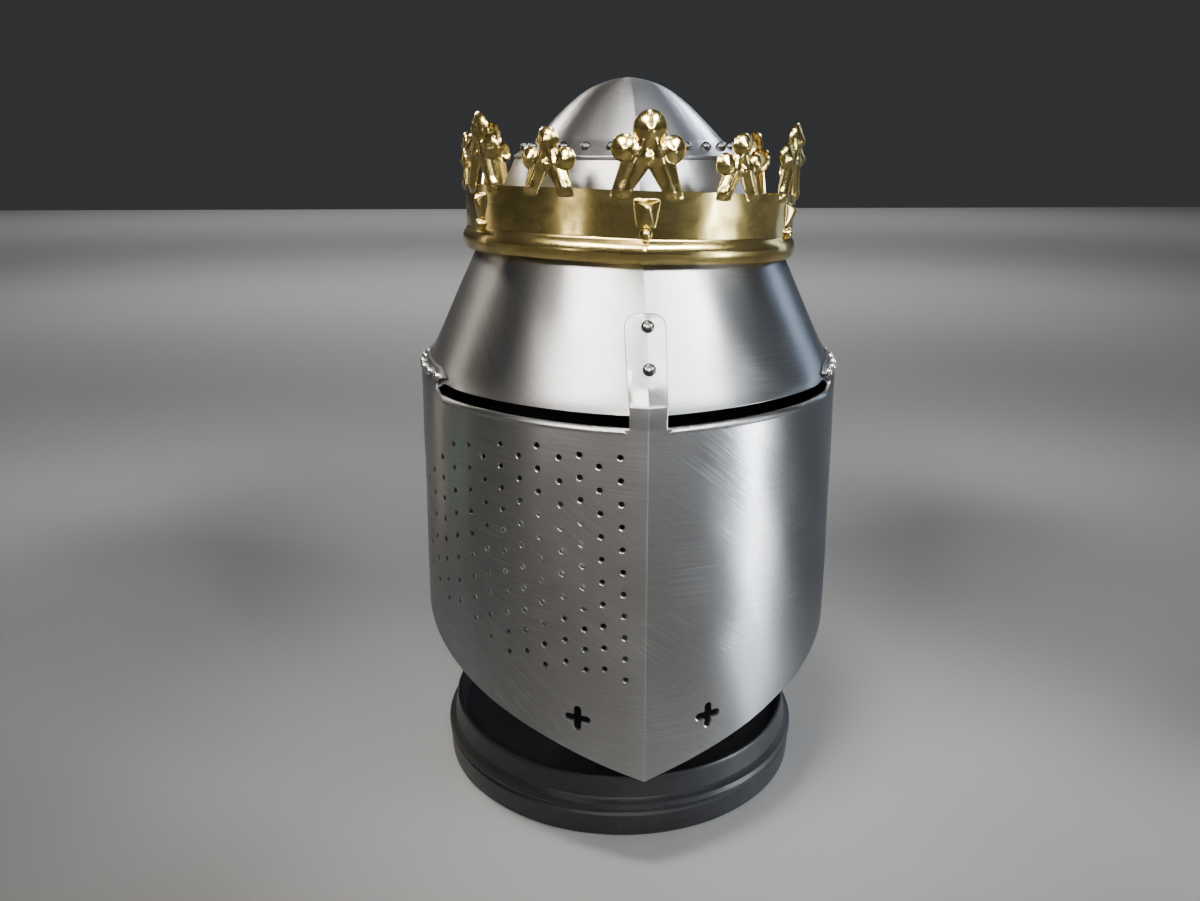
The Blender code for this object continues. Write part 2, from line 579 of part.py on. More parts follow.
def crown_pitch(pitch):
    """The flat sheet of one repeat of the crown: a tall fleuron between two halves of gaps and a
    short one, with the relief of every point."""
    tall_at, short_at = pitch * 0.25, pitch * 0.75
    rim = CROWN_HEIGHT
    columns = np.linspace(0.0, pitch, 7)
    rows = [height for height, _ in BEAD_PROFILE]
    band = [(x, 0.0) for x in columns] + [(pitch, height) for height in (*rows[1:], rim)]
    band += [(x, rim) for x in columns[-2::-1]] + [(0.0, height) for height in rows[:0:-1]]
    solids, ridges, bosses = [band], [], []
    for sizes, middle in ((TALL, tall_at), (SHORT, short_at)):
        more, lines, lobes = fleuron_loops(sizes, middle)
        solids += more
        ridges += lines
        bosses += lobes
    drop, half_side, rise = SQUARE_BOSS
    square = ring_points((tall_at, rim - drop), half_side * math.sqrt(2), 4, math.pi / 4)
    bosses.append((tall_at, rim - drop, half_side * math.sqrt(2), rise))
    ball_drop, ball_radius, ball_rise = ROUND_BOSS
    ball = ring_points((tall_at, rim - ball_drop), ball_radius, 6, math.pi / 6)
    bosses.append((tall_at, rim - ball_drop, ball_radius, ball_rise))
    lines = [[(x, height) for x in columns] for height in rows[1:]]
    lines += [[*square, square[0]], [*ball, ball[0]], *ridges]
    flat, triangles = cut_sheet(solids, [], lines, [(x, z) for x, z, _, _ in bosses])
    relief = np.interp(flat[:, 1], rows, [out for _, out in BEAD_PROFILE])
    for x, z, radius, height in bosses:
        away = np.hypot(flat[:, 0] - x, flat[:, 1] - z) / radius
        relief = relief + height * np.sqrt(np.clip(1 - away ** 2, 0.0, 1.0)) * (away < 0.97)
    for _, (x0, z0), (x1, z1) in ridges:
        run = np.array([x1 - x0, z1 - z0])
        share = ((flat - (x0, z0)) @ run) / (run @ run)
        off = np.abs((flat[:, 0] - x0) * run[1] - (flat[:, 1] - z0) * run[0]) / np.hypot(*run)
        relief = relief + LEG_RIDGE * ((off < 1e-5) & (share > -0.01) & (share < 1.01))
    return flat, triangles, relief


def build_crown():
    """The crown: six repeats of its flat sheet, joined into a ring round the skull."""
    girth = 2 * HALF_GIRTH
    repeats = FLEURONS // 2
    pitch = girth / repeats * (CROWN_WIDTH / HALF_WIDTH)
    flat, triangles, relief = crown_pitch(pitch)
    stretch = HALF_WIDTH / CROWN_WIDTH
    places, points, faces = {}, [], []
    for repeat in range(repeats):
        numbers = []
        for (x, z), out in zip(flat, relief):
            along = (x - pitch * 0.25 + repeat * pitch) * stretch % girth
            along = 0.0 if girth - along < 1e-6 else along
            key = (round(along, 6), round(z, 6))
            if key not in places:
                places[key] = len(points)
                points.append((along, z, out))
            numbers.append(places[key])
        faces += [tuple(numbers[i] for i in face) for face in triangles]
    arc, height, out = np.array(points).T
    arc = np.where(arc > HALF_GIRTH, arc - girth, arc)
    width = CROWN_WIDTH + CROWN_LEAN * height
    skins = []
    for depth in (0.0, BRASS):
        skin = around(arc, width + out - depth, CROWN_BASE_Z + height)
        middle = np.array([HELM_SHIFT[0], HELM_SHIFT[1], CROWN_BASE_Z])
        pitch_angle, roll_angle = CROWN_TILT
        turn = np.array(Matrix.Rotation(roll_angle, 3, "Y") @ Matrix.Rotation(pitch_angle, 3, "X"))
        skins.append((skin - middle) @ turn.T + middle)
    closed_sheet("crown", skins[0], skins[1], faces, "polished_brass")


def turned(name, profile, sides, material):
    """A turned solid about Z, from a profile of radius and height that starts and ends on a disc."""
    angle = np.arange(sides) * 2 * math.pi / sides
    points = [(r * math.cos(t), r * math.sin(t), z) for r, z in profile for t in angle]
    rows = len(profile)
    faces = [(row * sides + i, row * sides + (i + 1) % sides,
              (row + 1) * sides + (i + 1) % sides, (row + 1) * sides + i)
             for row in range(rows - 1) for i in range(sides)]
    faces.append(tuple(range(sides))[::-1])
    faces.append(tuple((rows - 1) * sides + i for i in range(sides)))
    return add_mesh(name, points, faces, material, sharp=40.0)


def build_stand():
    """The moulded base, and the plain post whose round top carries the dome."""
    turned("stand_base", BASE_PROFILE, BASE_SIDES, "base_paint")
    foot = BASE_PROFILE[-1][1] + GAP
    top = APEX_Z - POST_BELOW_APEX
    profile = [(POST_RADIUS * 1.6, foot), (POST_RADIUS * 1.6, foot + 0.006), (POST_RADIUS, foot + 0.010)]
    profile += [(POST_RADIUS * math.cos(t), top - POST_RADIUS * (1 - math.sin(t)))
                for t in np.radians((0, 30, 55, 75))]
    profile.append((POST_RADIUS * 0.08, top))
    turned("stand_post", profile, POST_SIDES, "post_paint")


def main():
    for leftover in list(bpy.data.objects):
        bpy.data.objects.remove(leftover, do_unlink=True)
    build_face_plate()
    build_nape_plate()
    build_skull()
    build_dome()
    build_rivets()
    build_crown()
    build_stand()


main()
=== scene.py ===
"""Great helm with a crown on its round base: finished surfaces, finishes, light and camera.

Every surface is worked out with numpy. The helm's plates are drawn flat, as arc length round the
helm against height, and laid on the helm's form. Metres, +Z up, the helm faces -Y.
"""

from __future__ import annotations

import logging
import math
from dataclasses import dataclass, field
from enum import Enum
from functools import cached_property

import bpy
import numpy as np
from mathutils import Matrix, Vector
from mathutils.geometry import delaunay_2d_cdt


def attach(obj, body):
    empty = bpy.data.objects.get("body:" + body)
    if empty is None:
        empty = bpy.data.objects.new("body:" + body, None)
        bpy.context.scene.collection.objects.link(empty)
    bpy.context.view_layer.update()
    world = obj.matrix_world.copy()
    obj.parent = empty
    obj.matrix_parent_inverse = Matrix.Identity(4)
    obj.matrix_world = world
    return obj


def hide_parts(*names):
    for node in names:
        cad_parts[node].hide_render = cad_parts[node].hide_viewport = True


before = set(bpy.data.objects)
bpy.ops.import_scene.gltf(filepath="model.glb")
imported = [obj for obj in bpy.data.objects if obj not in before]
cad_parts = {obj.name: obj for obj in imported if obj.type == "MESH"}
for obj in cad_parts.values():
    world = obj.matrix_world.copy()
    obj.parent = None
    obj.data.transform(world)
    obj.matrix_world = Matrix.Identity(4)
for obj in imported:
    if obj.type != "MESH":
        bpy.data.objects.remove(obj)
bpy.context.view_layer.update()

Array = np.ndarray
Socket = bpy.types.NodeSocket
Material = bpy.types.Material
Piece = bpy.types.Object
Colour = tuple[float, float, float]
LOG = logging.getLogger("great_helm")
ROOT = "root"
GAP = 0.0003          # left between touching pieces
STEEL = 0.0016        # thickness of the helm's plates
BRASS = 0.0012        # thickness of the crown's sheet
EDGE_ROUND = 0.0002   # worn off every cut edge
EDGE_INSET = 0.0004   # how far from the edge the wear starts
SHORT_STEP = 0.0005   # over which a surface's slope is measured


class Slot(Enum):
    """The record's material slots, one named for each piece."""

    STEEL = "brushed_steel"
    DARK_STEEL = "dark_rivet_steel"
    BRASS = "polished_brass"
    BASE = "base_paint"


class Side(Enum):
    """The wearer's two sides, as the sign of the arc from the keel."""

    RIGHT = -1
    LEFT = 1


class Sum(Enum):
    """Sums of two values in a finish."""

    PLUS = "ADD"
    TIMES = "MULTIPLY"
    HIGHER = "MAXIMUM"


# Mesh making


def grid_faces(rows: int, columns: int, close_rows: bool = False,
               close_columns: bool = False) -> Array:
    """Quads of a grid of points numbered row by row.

    The quad of row r and column c joins (r, c), (r, c + 1), (r + 1, c + 1) and (r + 1, c).

    Args:
        rows: Number of rows of points.
        columns: Number of points in a row.
        close_rows: Whether the last row joins the first.
        close_columns: Whether the last column joins the first.

    Returns:
        One row of four point numbers for each quad.
    """
    r, c = np.meshgrid(np.arange(rows if close_rows else rows - 1),
                       np.arange(columns if close_columns else columns - 1), indexing="ij")
    up, on = (r + 1) % rows, (c + 1) % columns
    corners = [r * columns + c, r * columns + on, up * columns + on, up * columns + c]
    return np.stack(corners, -1).reshape(-1, 4)


def contains(loop: Array, points: Array) -> Array:
    """Which points lie inside a closed loop: a ray to the right crosses it an odd number of times.

    Args:
        loop: Corners of the loop.
        points: Points to test.

    Returns:
        True for each point inside.
    """
    inside = np.zeros(len(points), bool)
    near = np.all((points > loop.min(axis=0)) & (points < loop.max(axis=0)), axis=1)
    x, y = points[near, 0, None], points[near, 1, None]
    end = np.roll(loop, -1, axis=0)
    rises = (loop[:, 1] > y) != (end[:, 1] > y)
    run = np.where(end[:, 1] == loop[:, 1], 1.0, end[:, 1] - loop[:, 1])
    crossing = loop[:, 0] + (y - loop[:, 1]) * (end[:, 0] - loop[:, 0]) / run
    inside[near] = np.sum(rises & (x < crossing), axis=1) % 2 == 1
    return inside


def ring(centre: tuple[float, float], radius: float, sides: int) -> Array:
    """Corners of a regular loop: the centre plus the radius times cosine and sine of even steps."""
    angle = np.arange(sides) * 2 * math.pi / sides
    return np.stack([centre[0] + radius * np.cos(angle), centre[1] + radius * np.sin(angle)], -1)


def returned(loop: Array) -> Array:
    """A loop as an open path that ends where it starts."""
    return np.concatenate((loop, loop[:1]))


def dense(path: Array, step: float, closed: bool = False) -> Array:
    """A path with points added evenly, so that none lie further apart than the step.

    Args:
        path: Corners of the path, all of which are kept.
        step: Largest distance between neighbours.
        closed: Whether the path runs back to its start.

    Returns:
        The corners with the points between them.
    """
    path = np.asarray(path, float)
    ends = np.roll(path, -1, axis=0) if closed else path[1:]
    starts = path if closed else path[:-1]
    counts = np.maximum(np.ceil(np.linalg.norm(ends - starts, axis=1) / step).astype(int), 1)
    first = np.repeat(np.arange(len(starts)), counts)
    share = (np.arange(counts.sum()) - np.repeat(np.cumsum(counts) - counts, counts)) / counts[first]
    line = starts[first] + (ends - starts)[first] * share[:, None]
    return line if closed else np.concatenate((line, path[-1:]))


def curve_through(points: Array, count: int) -> Array:
    """A smooth curve through points: in each span the cubic whose end slopes are half the chord
    between the neighbours on either side.

    Args:
        points: Points on the curve.
        count: Points in each span.

    Returns:
        Points along the curve.
    """
    points = np.asarray(points, float)
    slope = np.gradient(points, axis=0)
    t = (np.arange(count) / count)[None, :, None]
    a, b, m, n = points[:-1, None], points[1:, None], slope[:-1, None], slope[1:, None]
    line = ((2 * t ** 3 - 3 * t ** 2 + 1) * a + (t ** 3 - 2 * t ** 2 + t) * m
            + (3 * t ** 2 - 2 * t ** 3) * b + (t ** 3 - t ** 2) * n)
    return np.concatenate((line.reshape(-1, points.shape[1]), points[-1:]))


def inset(loop: Array, distance: float, least: float = 0.35) -> Array:
    """A closed loop moved to its left by a distance along the mean normal of each corner's sides.

    Args:
        loop: Corners of the loop.
        distance: How far to move it.
        least: Least squared length of the mean normal, which keeps sharp corners from running off.

    Returns:
        The moved corners.
    """
    normals = []
    for side in (loop - np.roll(loop, 1, axis=0), np.roll(loop, -1, axis=0) - loop):
        length = np.maximum(np.linalg.norm(side, axis=1), 1e-9)
        normals.append(np.stack([-side[:, 1], side[:, 0]], -1) / length[:, None])
    mean = (normals[0] + normals[1]) / 2
    size = np.maximum(np.sum(mean ** 2, axis=1), least)
    return loop + mean / size[:, None] * distance


@dataclass
class Shell:
    """A mesh in the making.

    Args:
        points: Places of the points.
        faces: Groups of faces, each an array with one face a row.
        flat: Each point's place on the flat sheet, for the finish.
        inner: Number of the group that faces into the helm, if there is one.
        normals: Exact directions of the surface at the points, for the first group of faces.
    """

    points: Array
    faces: list[Array]
    flat: Array
    inner: int | None = None
    normals: Array | None = None

    def add(self, other: Shell) -> Shell:
        """Both shells as one.

        Args:
            other: The shell whose points come last.

        Returns:
            The joined shell, with this one's inner group and normals.
        """
        return Shell(np.concatenate((self.points, other.points)),
                     [*self.faces, *(group + len(self.points) for group in other.faces)],
                     np.concatenate((self.flat, other.flat)), self.inner, self.normals)

    def build(self, name: str, material: Material, slot: Slot, stands_for: list[str],
              sharp: float = 24.0, lining: Material | None = None) -> Piece:
        """Makes the object, which rides on the one body and stands for its CAD nodes.

        Args:
            name: Name of the object.
            material: Its finish.
            slot: The record's slot that the finish belongs to; not used.
            stands_for: CAD nodes that it replaces.
            sharp: Edges that turn by more than this many degrees stay crisp.
            lining: Finish of the inner faces.

        Returns:
            The object.
        """
        mesh = bpy.data.meshes.new(name)
        faces = [face for group in self.faces for face in group.tolist()]
        mesh.from_pydata(self.points.tolist(), [], faces)
        corners = np.empty(len(mesh.loops), np.int32)
        mesh.loops.foreach_get("vertex_index", corners)
        places = self.flat[corners].astype(np.float32).ravel()
        mesh.uv_layers.new(name="flat").data.foreach_set("uv", places)
        mesh.shade_smooth()
        mesh.set_sharp_from_angle(angle=math.radians(sharp))
        if self.normals is not None:
            given = np.zeros((len(corners), 3))
            known = corners[:self.faces[0].size]
            given[:len(known)] = self.normals[known]
            mesh.normals_split_custom_set(given.tolist())
        mesh.materials.append(material)
        if lining and self.inner is not None:
            mesh.materials.append(lining)
            inside = np.concatenate([np.full(len(group), number == self.inner)
                                     for number, group in enumerate(self.faces)])
            mesh.polygons.foreach_set("material_index", inside.astype(np.int32))
        piece = bpy.data.objects.new(name, mesh)
        bpy.context.scene.collection.objects.link(piece)
        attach(piece, ROOT)
        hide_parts(*stands_for)
        LOG.info("%s: %d faces, for %d CAD nodes", name, len(mesh.polygons), len(stands_for))
        return piece


def two_skins(outside: Array, inside: Array, triangles: Array, flat: Array) -> Shell:
    """A sheet with thickness: two skins with the same triangles, and a wall along each free edge,
    where no triangle runs the other way. The outside is worn down a little at the free edges.

    Args:
        outside: Points of the outer skin.
        inside: Points of the inner skin.
        triangles: Triangles of the outer skin.
        flat: Places on the flat sheet.

    Returns:
        The closed shell.
    """
    count = len(outside)
    edges = np.concatenate([triangles[:, [0, 1]], triangles[:, [1, 2]], triangles[:, [2, 0]]])
    free = edges[~np.isin(edges[:, 0] * count + edges[:, 1], edges[:, 1] * count + edges[:, 0])]
    rim = np.unique(free)
    depth = inside[rim] - outside[rim]
    outside = outside.copy()
    outside[rim] += depth / np.linalg.norm(depth, axis=1)[:, None] * EDGE_ROUND
    wall = np.stack([free[:, 1], free[:, 0], free[:, 0] + count, free[:, 1] + count], -1)
    return Shell(np.concatenate((outside, inside)), [triangles, triangles[:, ::-1] + count, wall],
                 np.concatenate((flat, flat)), inner=1)


def thick_grid(outside: Array, inside: Array, flat: Array) -> Shell:
    """A bent grid with thickness. The outer rows from foot to top and the inner rows back down make
    one closed section, which runs along the columns, with a wall at the first and the last column.

    Args:
        outside: Outer points, as rows, columns and coordinates.
        inside: Inner points, in the same order.
        flat: Places on the flat sheet, as rows, columns and coordinates.

    Returns:
        The closed shell.
    """
    rows, columns = outside.shape[:2]
    points = np.concatenate((outside, inside[::-1])).reshape(-1, 3)
    quads = grid_faces(2 * rows, columns, close_rows=True)
    row = np.min(quads, axis=1) // columns
    back = (row >= rows) & (np.max(quads, axis=1) // columns > row) & (quads[:, 0] // columns >= rows)
    r = np.arange(rows - 1)
    low, up = r * columns, (r + 1) * columns
    back_low, back_up = (2 * rows - 1 - r) * columns, (2 * rows - 2 - r) * columns
    walls = [np.stack([low, up, back_up, back_low], -1),
             np.stack([low, back_low, back_up, up], -1) + columns - 1]
    return Shell(points, [quads[~back], quads[back], *walls],
                 np.concatenate((flat, flat[::-1])).reshape(-1, 2), inner=1)


@dataclass
class FlatSheet:
    """A flat sheet that is cut into triangles: the union of the solid loops less the holes.

    Args:
        solids: Closed loops of metal.
        holes: Closed loops cut out.
        lines: Open paths that the triangles' edges follow.
        spots: Single points.
    """

    solids: list[Array]
    holes: list[Array] = field(default_factory=list)
    lines: list[Array] = field(default_factory=list)
    spots: Array = field(default_factory=lambda: np.zeros((0, 2)))

    def covers(self, points: Array) -> Array:
        """Which points lie on the metal.

        Args:
            points: Flat places.

        Returns:
            True for each point in a solid loop and in no hole.
        """
        on = np.zeros(len(points), bool)
        for loop in self.solids:
            on |= contains(loop, points)
        for loop in self.holes:
            on &= ~contains(loop, points)
        return on

    def fill(self, step: float | tuple[float, float], clearance: float,
             low: tuple[float, float] = (-math.inf, -math.inf),
             high: tuple[float, float] = (math.inf, math.inf), batch: int = 400) -> None:
        """Adds an even grid of points to the metal, clear of the loops and lines.

        Args:
            step: Distance between the grid's points, or that across and that up.
            clearance: Least distance from the points that are there already.
            low: Lowest corner of the stretch that is filled.
            high: Highest corner of that stretch.
            batch: Points that are compared at a time.
        """
        there = np.concatenate([*self.solids, *self.holes, *self.lines, self.spots])
        low, high = np.maximum(there.min(axis=0), low), np.minimum(there.max(axis=0), high)
        x, z = (np.linspace(a, b, max(int(round((b - a) / s)), 1) + 1)
                for a, b, s in zip(low, high, np.broadcast_to(step, 2)))
        grid = np.stack(np.meshgrid(x, z), -1).reshape(-1, 2)
        grid = grid[self.covers(grid)]
        kept = [part[np.min(np.sum((part[:, None] - there) ** 2, axis=2), axis=1) > clearance ** 2]
                for part in np.array_split(grid, max(len(grid) // batch, 1))]
        self.spots = np.concatenate([self.spots, *kept])

    def cut(self) -> tuple[Array, Array]:
        """Cuts the sheet.

        Returns:
            The flat points, and the triangles, which turn anticlockwise.
        """
        loops = [*self.solids, *self.holes]
        edges, first = [], 0
        for number, path in enumerate([*loops, *self.lines]):
            along = first + np.arange(len(path))
            pairs = np.stack([along, np.roll(along, -1)], -1)
            edges.append(pairs if number < len(loops) else pairs[:-1])
            first += len(path)
        points = np.concatenate([*loops, *self.lines, self.spots]).tolist()
        flat, _, triangles, *_ = delaunay_2d_cdt(points, np.concatenate(edges).tolist(), [], 0, 1e-7)
        flat, triangles = np.array([tuple(point) for point in flat]), np.array(triangles)
        triangles = triangles[self.covers(flat[triangles].mean(axis=1))]
        a, b, c = (flat[triangles[:, corner]] for corner in range(3))
        area = (b[:, 0] - a[:, 0]) * (c[:, 1] - a[:, 1]) - (b[:, 1] - a[:, 1]) * (c[:, 0] - a[:, 0])
        triangles = np.where(area[:, None] < 0, triangles[:, ::-1], triangles)[np.abs(area) > 1e-12]
        used, renumbered = np.unique(triangles, return_inverse=True)
        return flat[used], renumbered.reshape(-1, 3)


# The helm's form


@dataclass(frozen=True)
class HelmForm:
    """The helm's form: its plan, the flared wall, the skull's slope, the laps and the sights."""

    half_width: float = 0.12206         # outside, at the lower edge of the sights
    keel_out: float = 0.1451            # keel in front of the axis, at the same height
    keel_angle: float = math.radians(13.6)          # how far the plan runs back from square there
    keel_round: float = 0.0007          # radius of the keel
    front_growth: float = 0.657         # share of the front's turn that is even
    back_growth: float = 1.385          # and of the back's, which turns fastest in the middle
    plan_steps: int = 400               # points of a quarter of the plan
    shift: tuple[float, float] = (0.003, 0.004)     # the helm hangs a little off its stand's middle
    point_z: float = 0.0595             # lowest point of the face plate
    nape_z: float = 0.1115              # lower edge at the sides and back
    edge_rise: float = 0.289            # rise of the lower edge for each metre round the helm
    edge_soft: float = 0.0035           # arc over which the point is rounded
    sight_z: float = 0.252              # lower edge of the sights
    brow_z: float = 0.2582              # upper edge of the sights
    lap_z: float = 0.2670               # upper edge of the side laps
    skull_top_z: float = 0.3737         # where the skull turns in under the dome
    apex_z: float = 0.418               # top of the dome
    flare: float = 0.0245               # growth of the half width from the sights to the point
    seam_arc: float = 0.205             # arc from the keel to the side seams
    lip_out: float = 0.0008             # bead below the sights
    lip_depth: float = 0.0035           # height of that bead
    lip_ends: tuple[float, float] = (0.003, 0.004)  # arcs in which it dies away, near the tab and far
    calm: float = 0.02                  # height below the sights in which the beaten waves fade in
    sight_start: float = 0.0095         # arc from the keel to the sights, half the tab's width
    sight_arc: float = 0.1335           # arc from the keel to the sights' round end
    skull_slope: float = 0.4752         # half width lost for each metre of height
    skull_top_width: float = 0.0648     # half width of the skull's top
    brow_out: float = 0.0016            # the brow lip stands out this far
    brow_fade: float = 0.0036           # height in which most of it is lost
    brow_end: tuple[float, float] = (0.112, 0.130)  # arcs between which the lip dies away
    skull_foot_z: float = 0.2545        # lower edge inside the laps
    tab_foot: float = 0.0008            # the tab starts this much nearer to the brow than a lap does
    tab_bend: tuple[float, float] = (0.2630, 0.1224)    # height and half width of its bend
    tab_rise: float = 0.0120            # from the brow to where the tab lies on the skull
    tab_top_z: float = 0.3033           # top of the nasal tab
    wave: float = 0.00011               # height of the beaten waves
    flange_edge: tuple[float, float] = (0.0654, 0.3757)     # half width and height of the dome's edge
    flange_slope: float = 0.0079 / 0.0119                   # rise of its flange for each metre in

    # Size, length round the helm, length up it and start of each wave of the hand work
    WAVES = ((1.0, 0.071, 0.19, 0.6), (0.8, 0.113, -0.087, 2.1), (0.6, 0.047, 0.066, 4.0))

    def quarter(self, start_angle: float, growth: float) -> tuple[Array, Array, Array]:
        """A quarter of the plan for a half width of one: the heading turns from start_angle to a
        right angle, growth of the turn evenly and the rest with the square of the arc.

        Args:
            start_angle: Heading on the middle line.
            growth: Share of the turn that is even.

        Returns:
            Arc, distance across and distance along.
        """
        share = np.linspace(0.0, 1.0, self.plan_steps)
        heading = start_angle + (math.pi / 2 - start_angle) * (growth * share + (1 - growth) * share ** 2)
        middle = (heading[1:] + heading[:-1]) / 2
        across = np.concatenate(([0.0], np.cumsum(np.cos(middle))))
        along = np.concatenate(([0.0], np.cumsum(np.sin(middle))))
        return share * (self.plan_steps - 1) / across[-1], across / across[-1], along / across[-1]

    @cached_property
    def plan(self) -> tuple[Array, Array, Array]:
        """The plan's right half for a half width of one, from the keel to the back.

        Returns:
            Arc, x and y.
        """
        front_arc, front_x, front_y = self.quarter(self.keel_angle, self.front_growth)
        back_arc, back_x, back_y = self.quarter(0.0, self.back_growth)
        front_y = front_y - self.keel_out / self.half_width
        back_y = front_y[-1] + back_y[-1] - back_y
        arc = np.concatenate((front_arc, front_arc[-1] + back_arc[-1] - back_arc[-2::-1]))
        return arc, np.concatenate((front_x, back_x[-2::-1])), np.concatenate((front_y, back_y[-2::-1]))

    @cached_property
    def half_girth(self) -> float:
        """Arc from the keel to the middle of the back, at the sights."""
        return float(self.plan[0][-1] * self.half_width)

    @property
    def lap_out(self) -> float:
        """How far a lap's outside lies outside the skull, level."""
        return (GAP + STEEL) * math.hypot(1, self.skull_slope)

    def back_arcs(self, count: int) -> Array:
        """Arcs in even steps from seam to seam round the back."""
        return np.linspace(self.seam_arc + GAP / 2, 2 * self.half_girth - self.seam_arc - GAP / 2, count)

    def wrapped(self, arc: Array) -> Array:
        """An arc brought between the middle of the back on one side and on the other."""
        return (np.asarray(arc) + self.half_girth) % (2 * self.half_girth) - self.half_girth

    def around(self, arc: Array, width: Array, height: Array,
               keel_round: float | None = None) -> Array:
        """Points of the helm. The plan is scaled to the half width, and the keel is rounded, since
        the distance along is read at the arc times the hyperbolic tangent of arc over radius.

        Args:
            arc: Signed arc from the keel, measured at the sights.
            width: Half width of the helm.
            height: Height.
            keel_round: Radius of the keel.

        Returns:
            The points.
        """
        arc, width, height = np.broadcast_arrays(self.wrapped(arc), width, height)
        plan_arc, plan_x, plan_y = self.plan
        share = np.abs(arc) / self.half_width
        worn = share * np.tanh(np.abs(arc) / (keel_round or self.keel_round))
        x = np.sign(arc) * np.interp(share, plan_arc, plan_x) * width
        y = np.interp(worn, plan_arc, plan_y) * width
        return np.stack([x + self.shift[0], y + self.shift[1], height], -1)

    def beaten(self, arc: Array, height: Array) -> Array:
        """How far hand work moves a plate out: the sum of three long crossing waves, each a sine
        of the arc over its length plus the height over its length.

        Args:
            arc: Arc from the keel.
            height: Height.

        Returns:
            The distances.
        """
        waves = (size * np.sin(2 * math.pi * (arc / round_length + height / up_length) + start)
                 for size, round_length, up_length, start in self.WAVES)
        return self.wave * sum(waves)

    def skull_width(self, height: Array) -> Array:
        """Half width of the skull's outside, which falls evenly with height."""
        return self.skull_top_width + self.skull_slope * (self.skull_top_z - height)

    def brow(self, arc: Array, height: Array) -> Array:
        """How far the brow lip stands out: it dies away with height as an exponential, and towards
        the sides as three times the squared share less twice its cube.

        Args:
            arc: Arc from the keel.
            height: Height.

        Returns:
            The distances.
        """
        start, end = self.brow_end
        fade = np.clip((end - np.abs(arc)) / (end - start), 0.0, 1.0)
        fade = fade * fade * (3 - 2 * fade)
        return self.brow_out * fade * np.exp(-np.maximum(height - self.brow_z, 0.0) / self.brow_fade)

    def lower_edge(self, arc: Array) -> Array:
        """Height of the face plate's lower edge: it rises evenly with the arc and then runs level,
        and the point is rounded, since the root of the squared arc and a short arc stands for it.

        Args:
            arc: Arc from the keel.

        Returns:
            The heights.
        """
        arc, soft = np.abs(arc), self.edge_soft
        rounded = np.sqrt(arc ** 2 + soft ** 2) - soft * np.exp(-arc / soft)
        return np.minimum(self.point_z + self.edge_rise * rounded, self.nape_z)

    def tab_profile(self) -> Array:
        """The nasal tab's outside, from the sights to its top.

        Returns:
            Height and half width of each row.
        """
        brow = self.skull_width(self.brow_z) + self.brow_out + self.lap_out - self.tab_foot
        high = np.array([self.brow_z + self.tab_rise, self.tab_top_z])
        return np.array([(self.sight_z, self.half_width), (self.brow_z, brow), self.tab_bend,
                         *zip(high, self.skull_width(high) + self.lap_out)])

    def plate_width(self, arc: Array, height: Array) -> Array:
        """Half width of the lower plates' outside: the flared wall, which grows evenly downwards
        and whose lip under the sights is half a sine, and above the sights the tab in the middle
        and the laps at the sides.

        Args:
            arc: Arc from the keel.
            height: Height.

        Returns:
            The half widths.
        """
        arc, height = np.broadcast_arrays(arc, height)
        off, below = np.abs(arc), self.sight_z - height
        near, far = self.lip_ends
        in_sight = np.clip((self.sight_arc - off) / far, 0.0, 1.0)
        in_sight = in_sight * np.clip((off - self.sight_start) / near, 0.0, 1.0)
        lip = self.lip_out * in_sight * np.sin(math.pi * np.clip(below / self.lip_depth, 0.0, 1.0))
        calm = np.clip(below / self.calm, 0.0, 1.0)
        wall = self.half_width * (1 + self.flare * (below / (self.sight_z - self.point_z)))
        wall = wall + lip + calm * self.beaten(arc, height)
        lap = np.minimum(wall, self.skull_width(height) + self.lap_out)
        tab = np.interp(height, *self.tab_profile().T)
        return np.where(below >= 0.0, wall, np.where(off < self.sight_arc / 2, tab, lap))

    def lay(self, arc: Array, height: Array, depth: float | Array = 0.0) -> Array:
        """Points of the lower plates, a depth under their outside."""
        return self.around(arc, self.plate_width(arc, height) - depth, height)


# Finishes


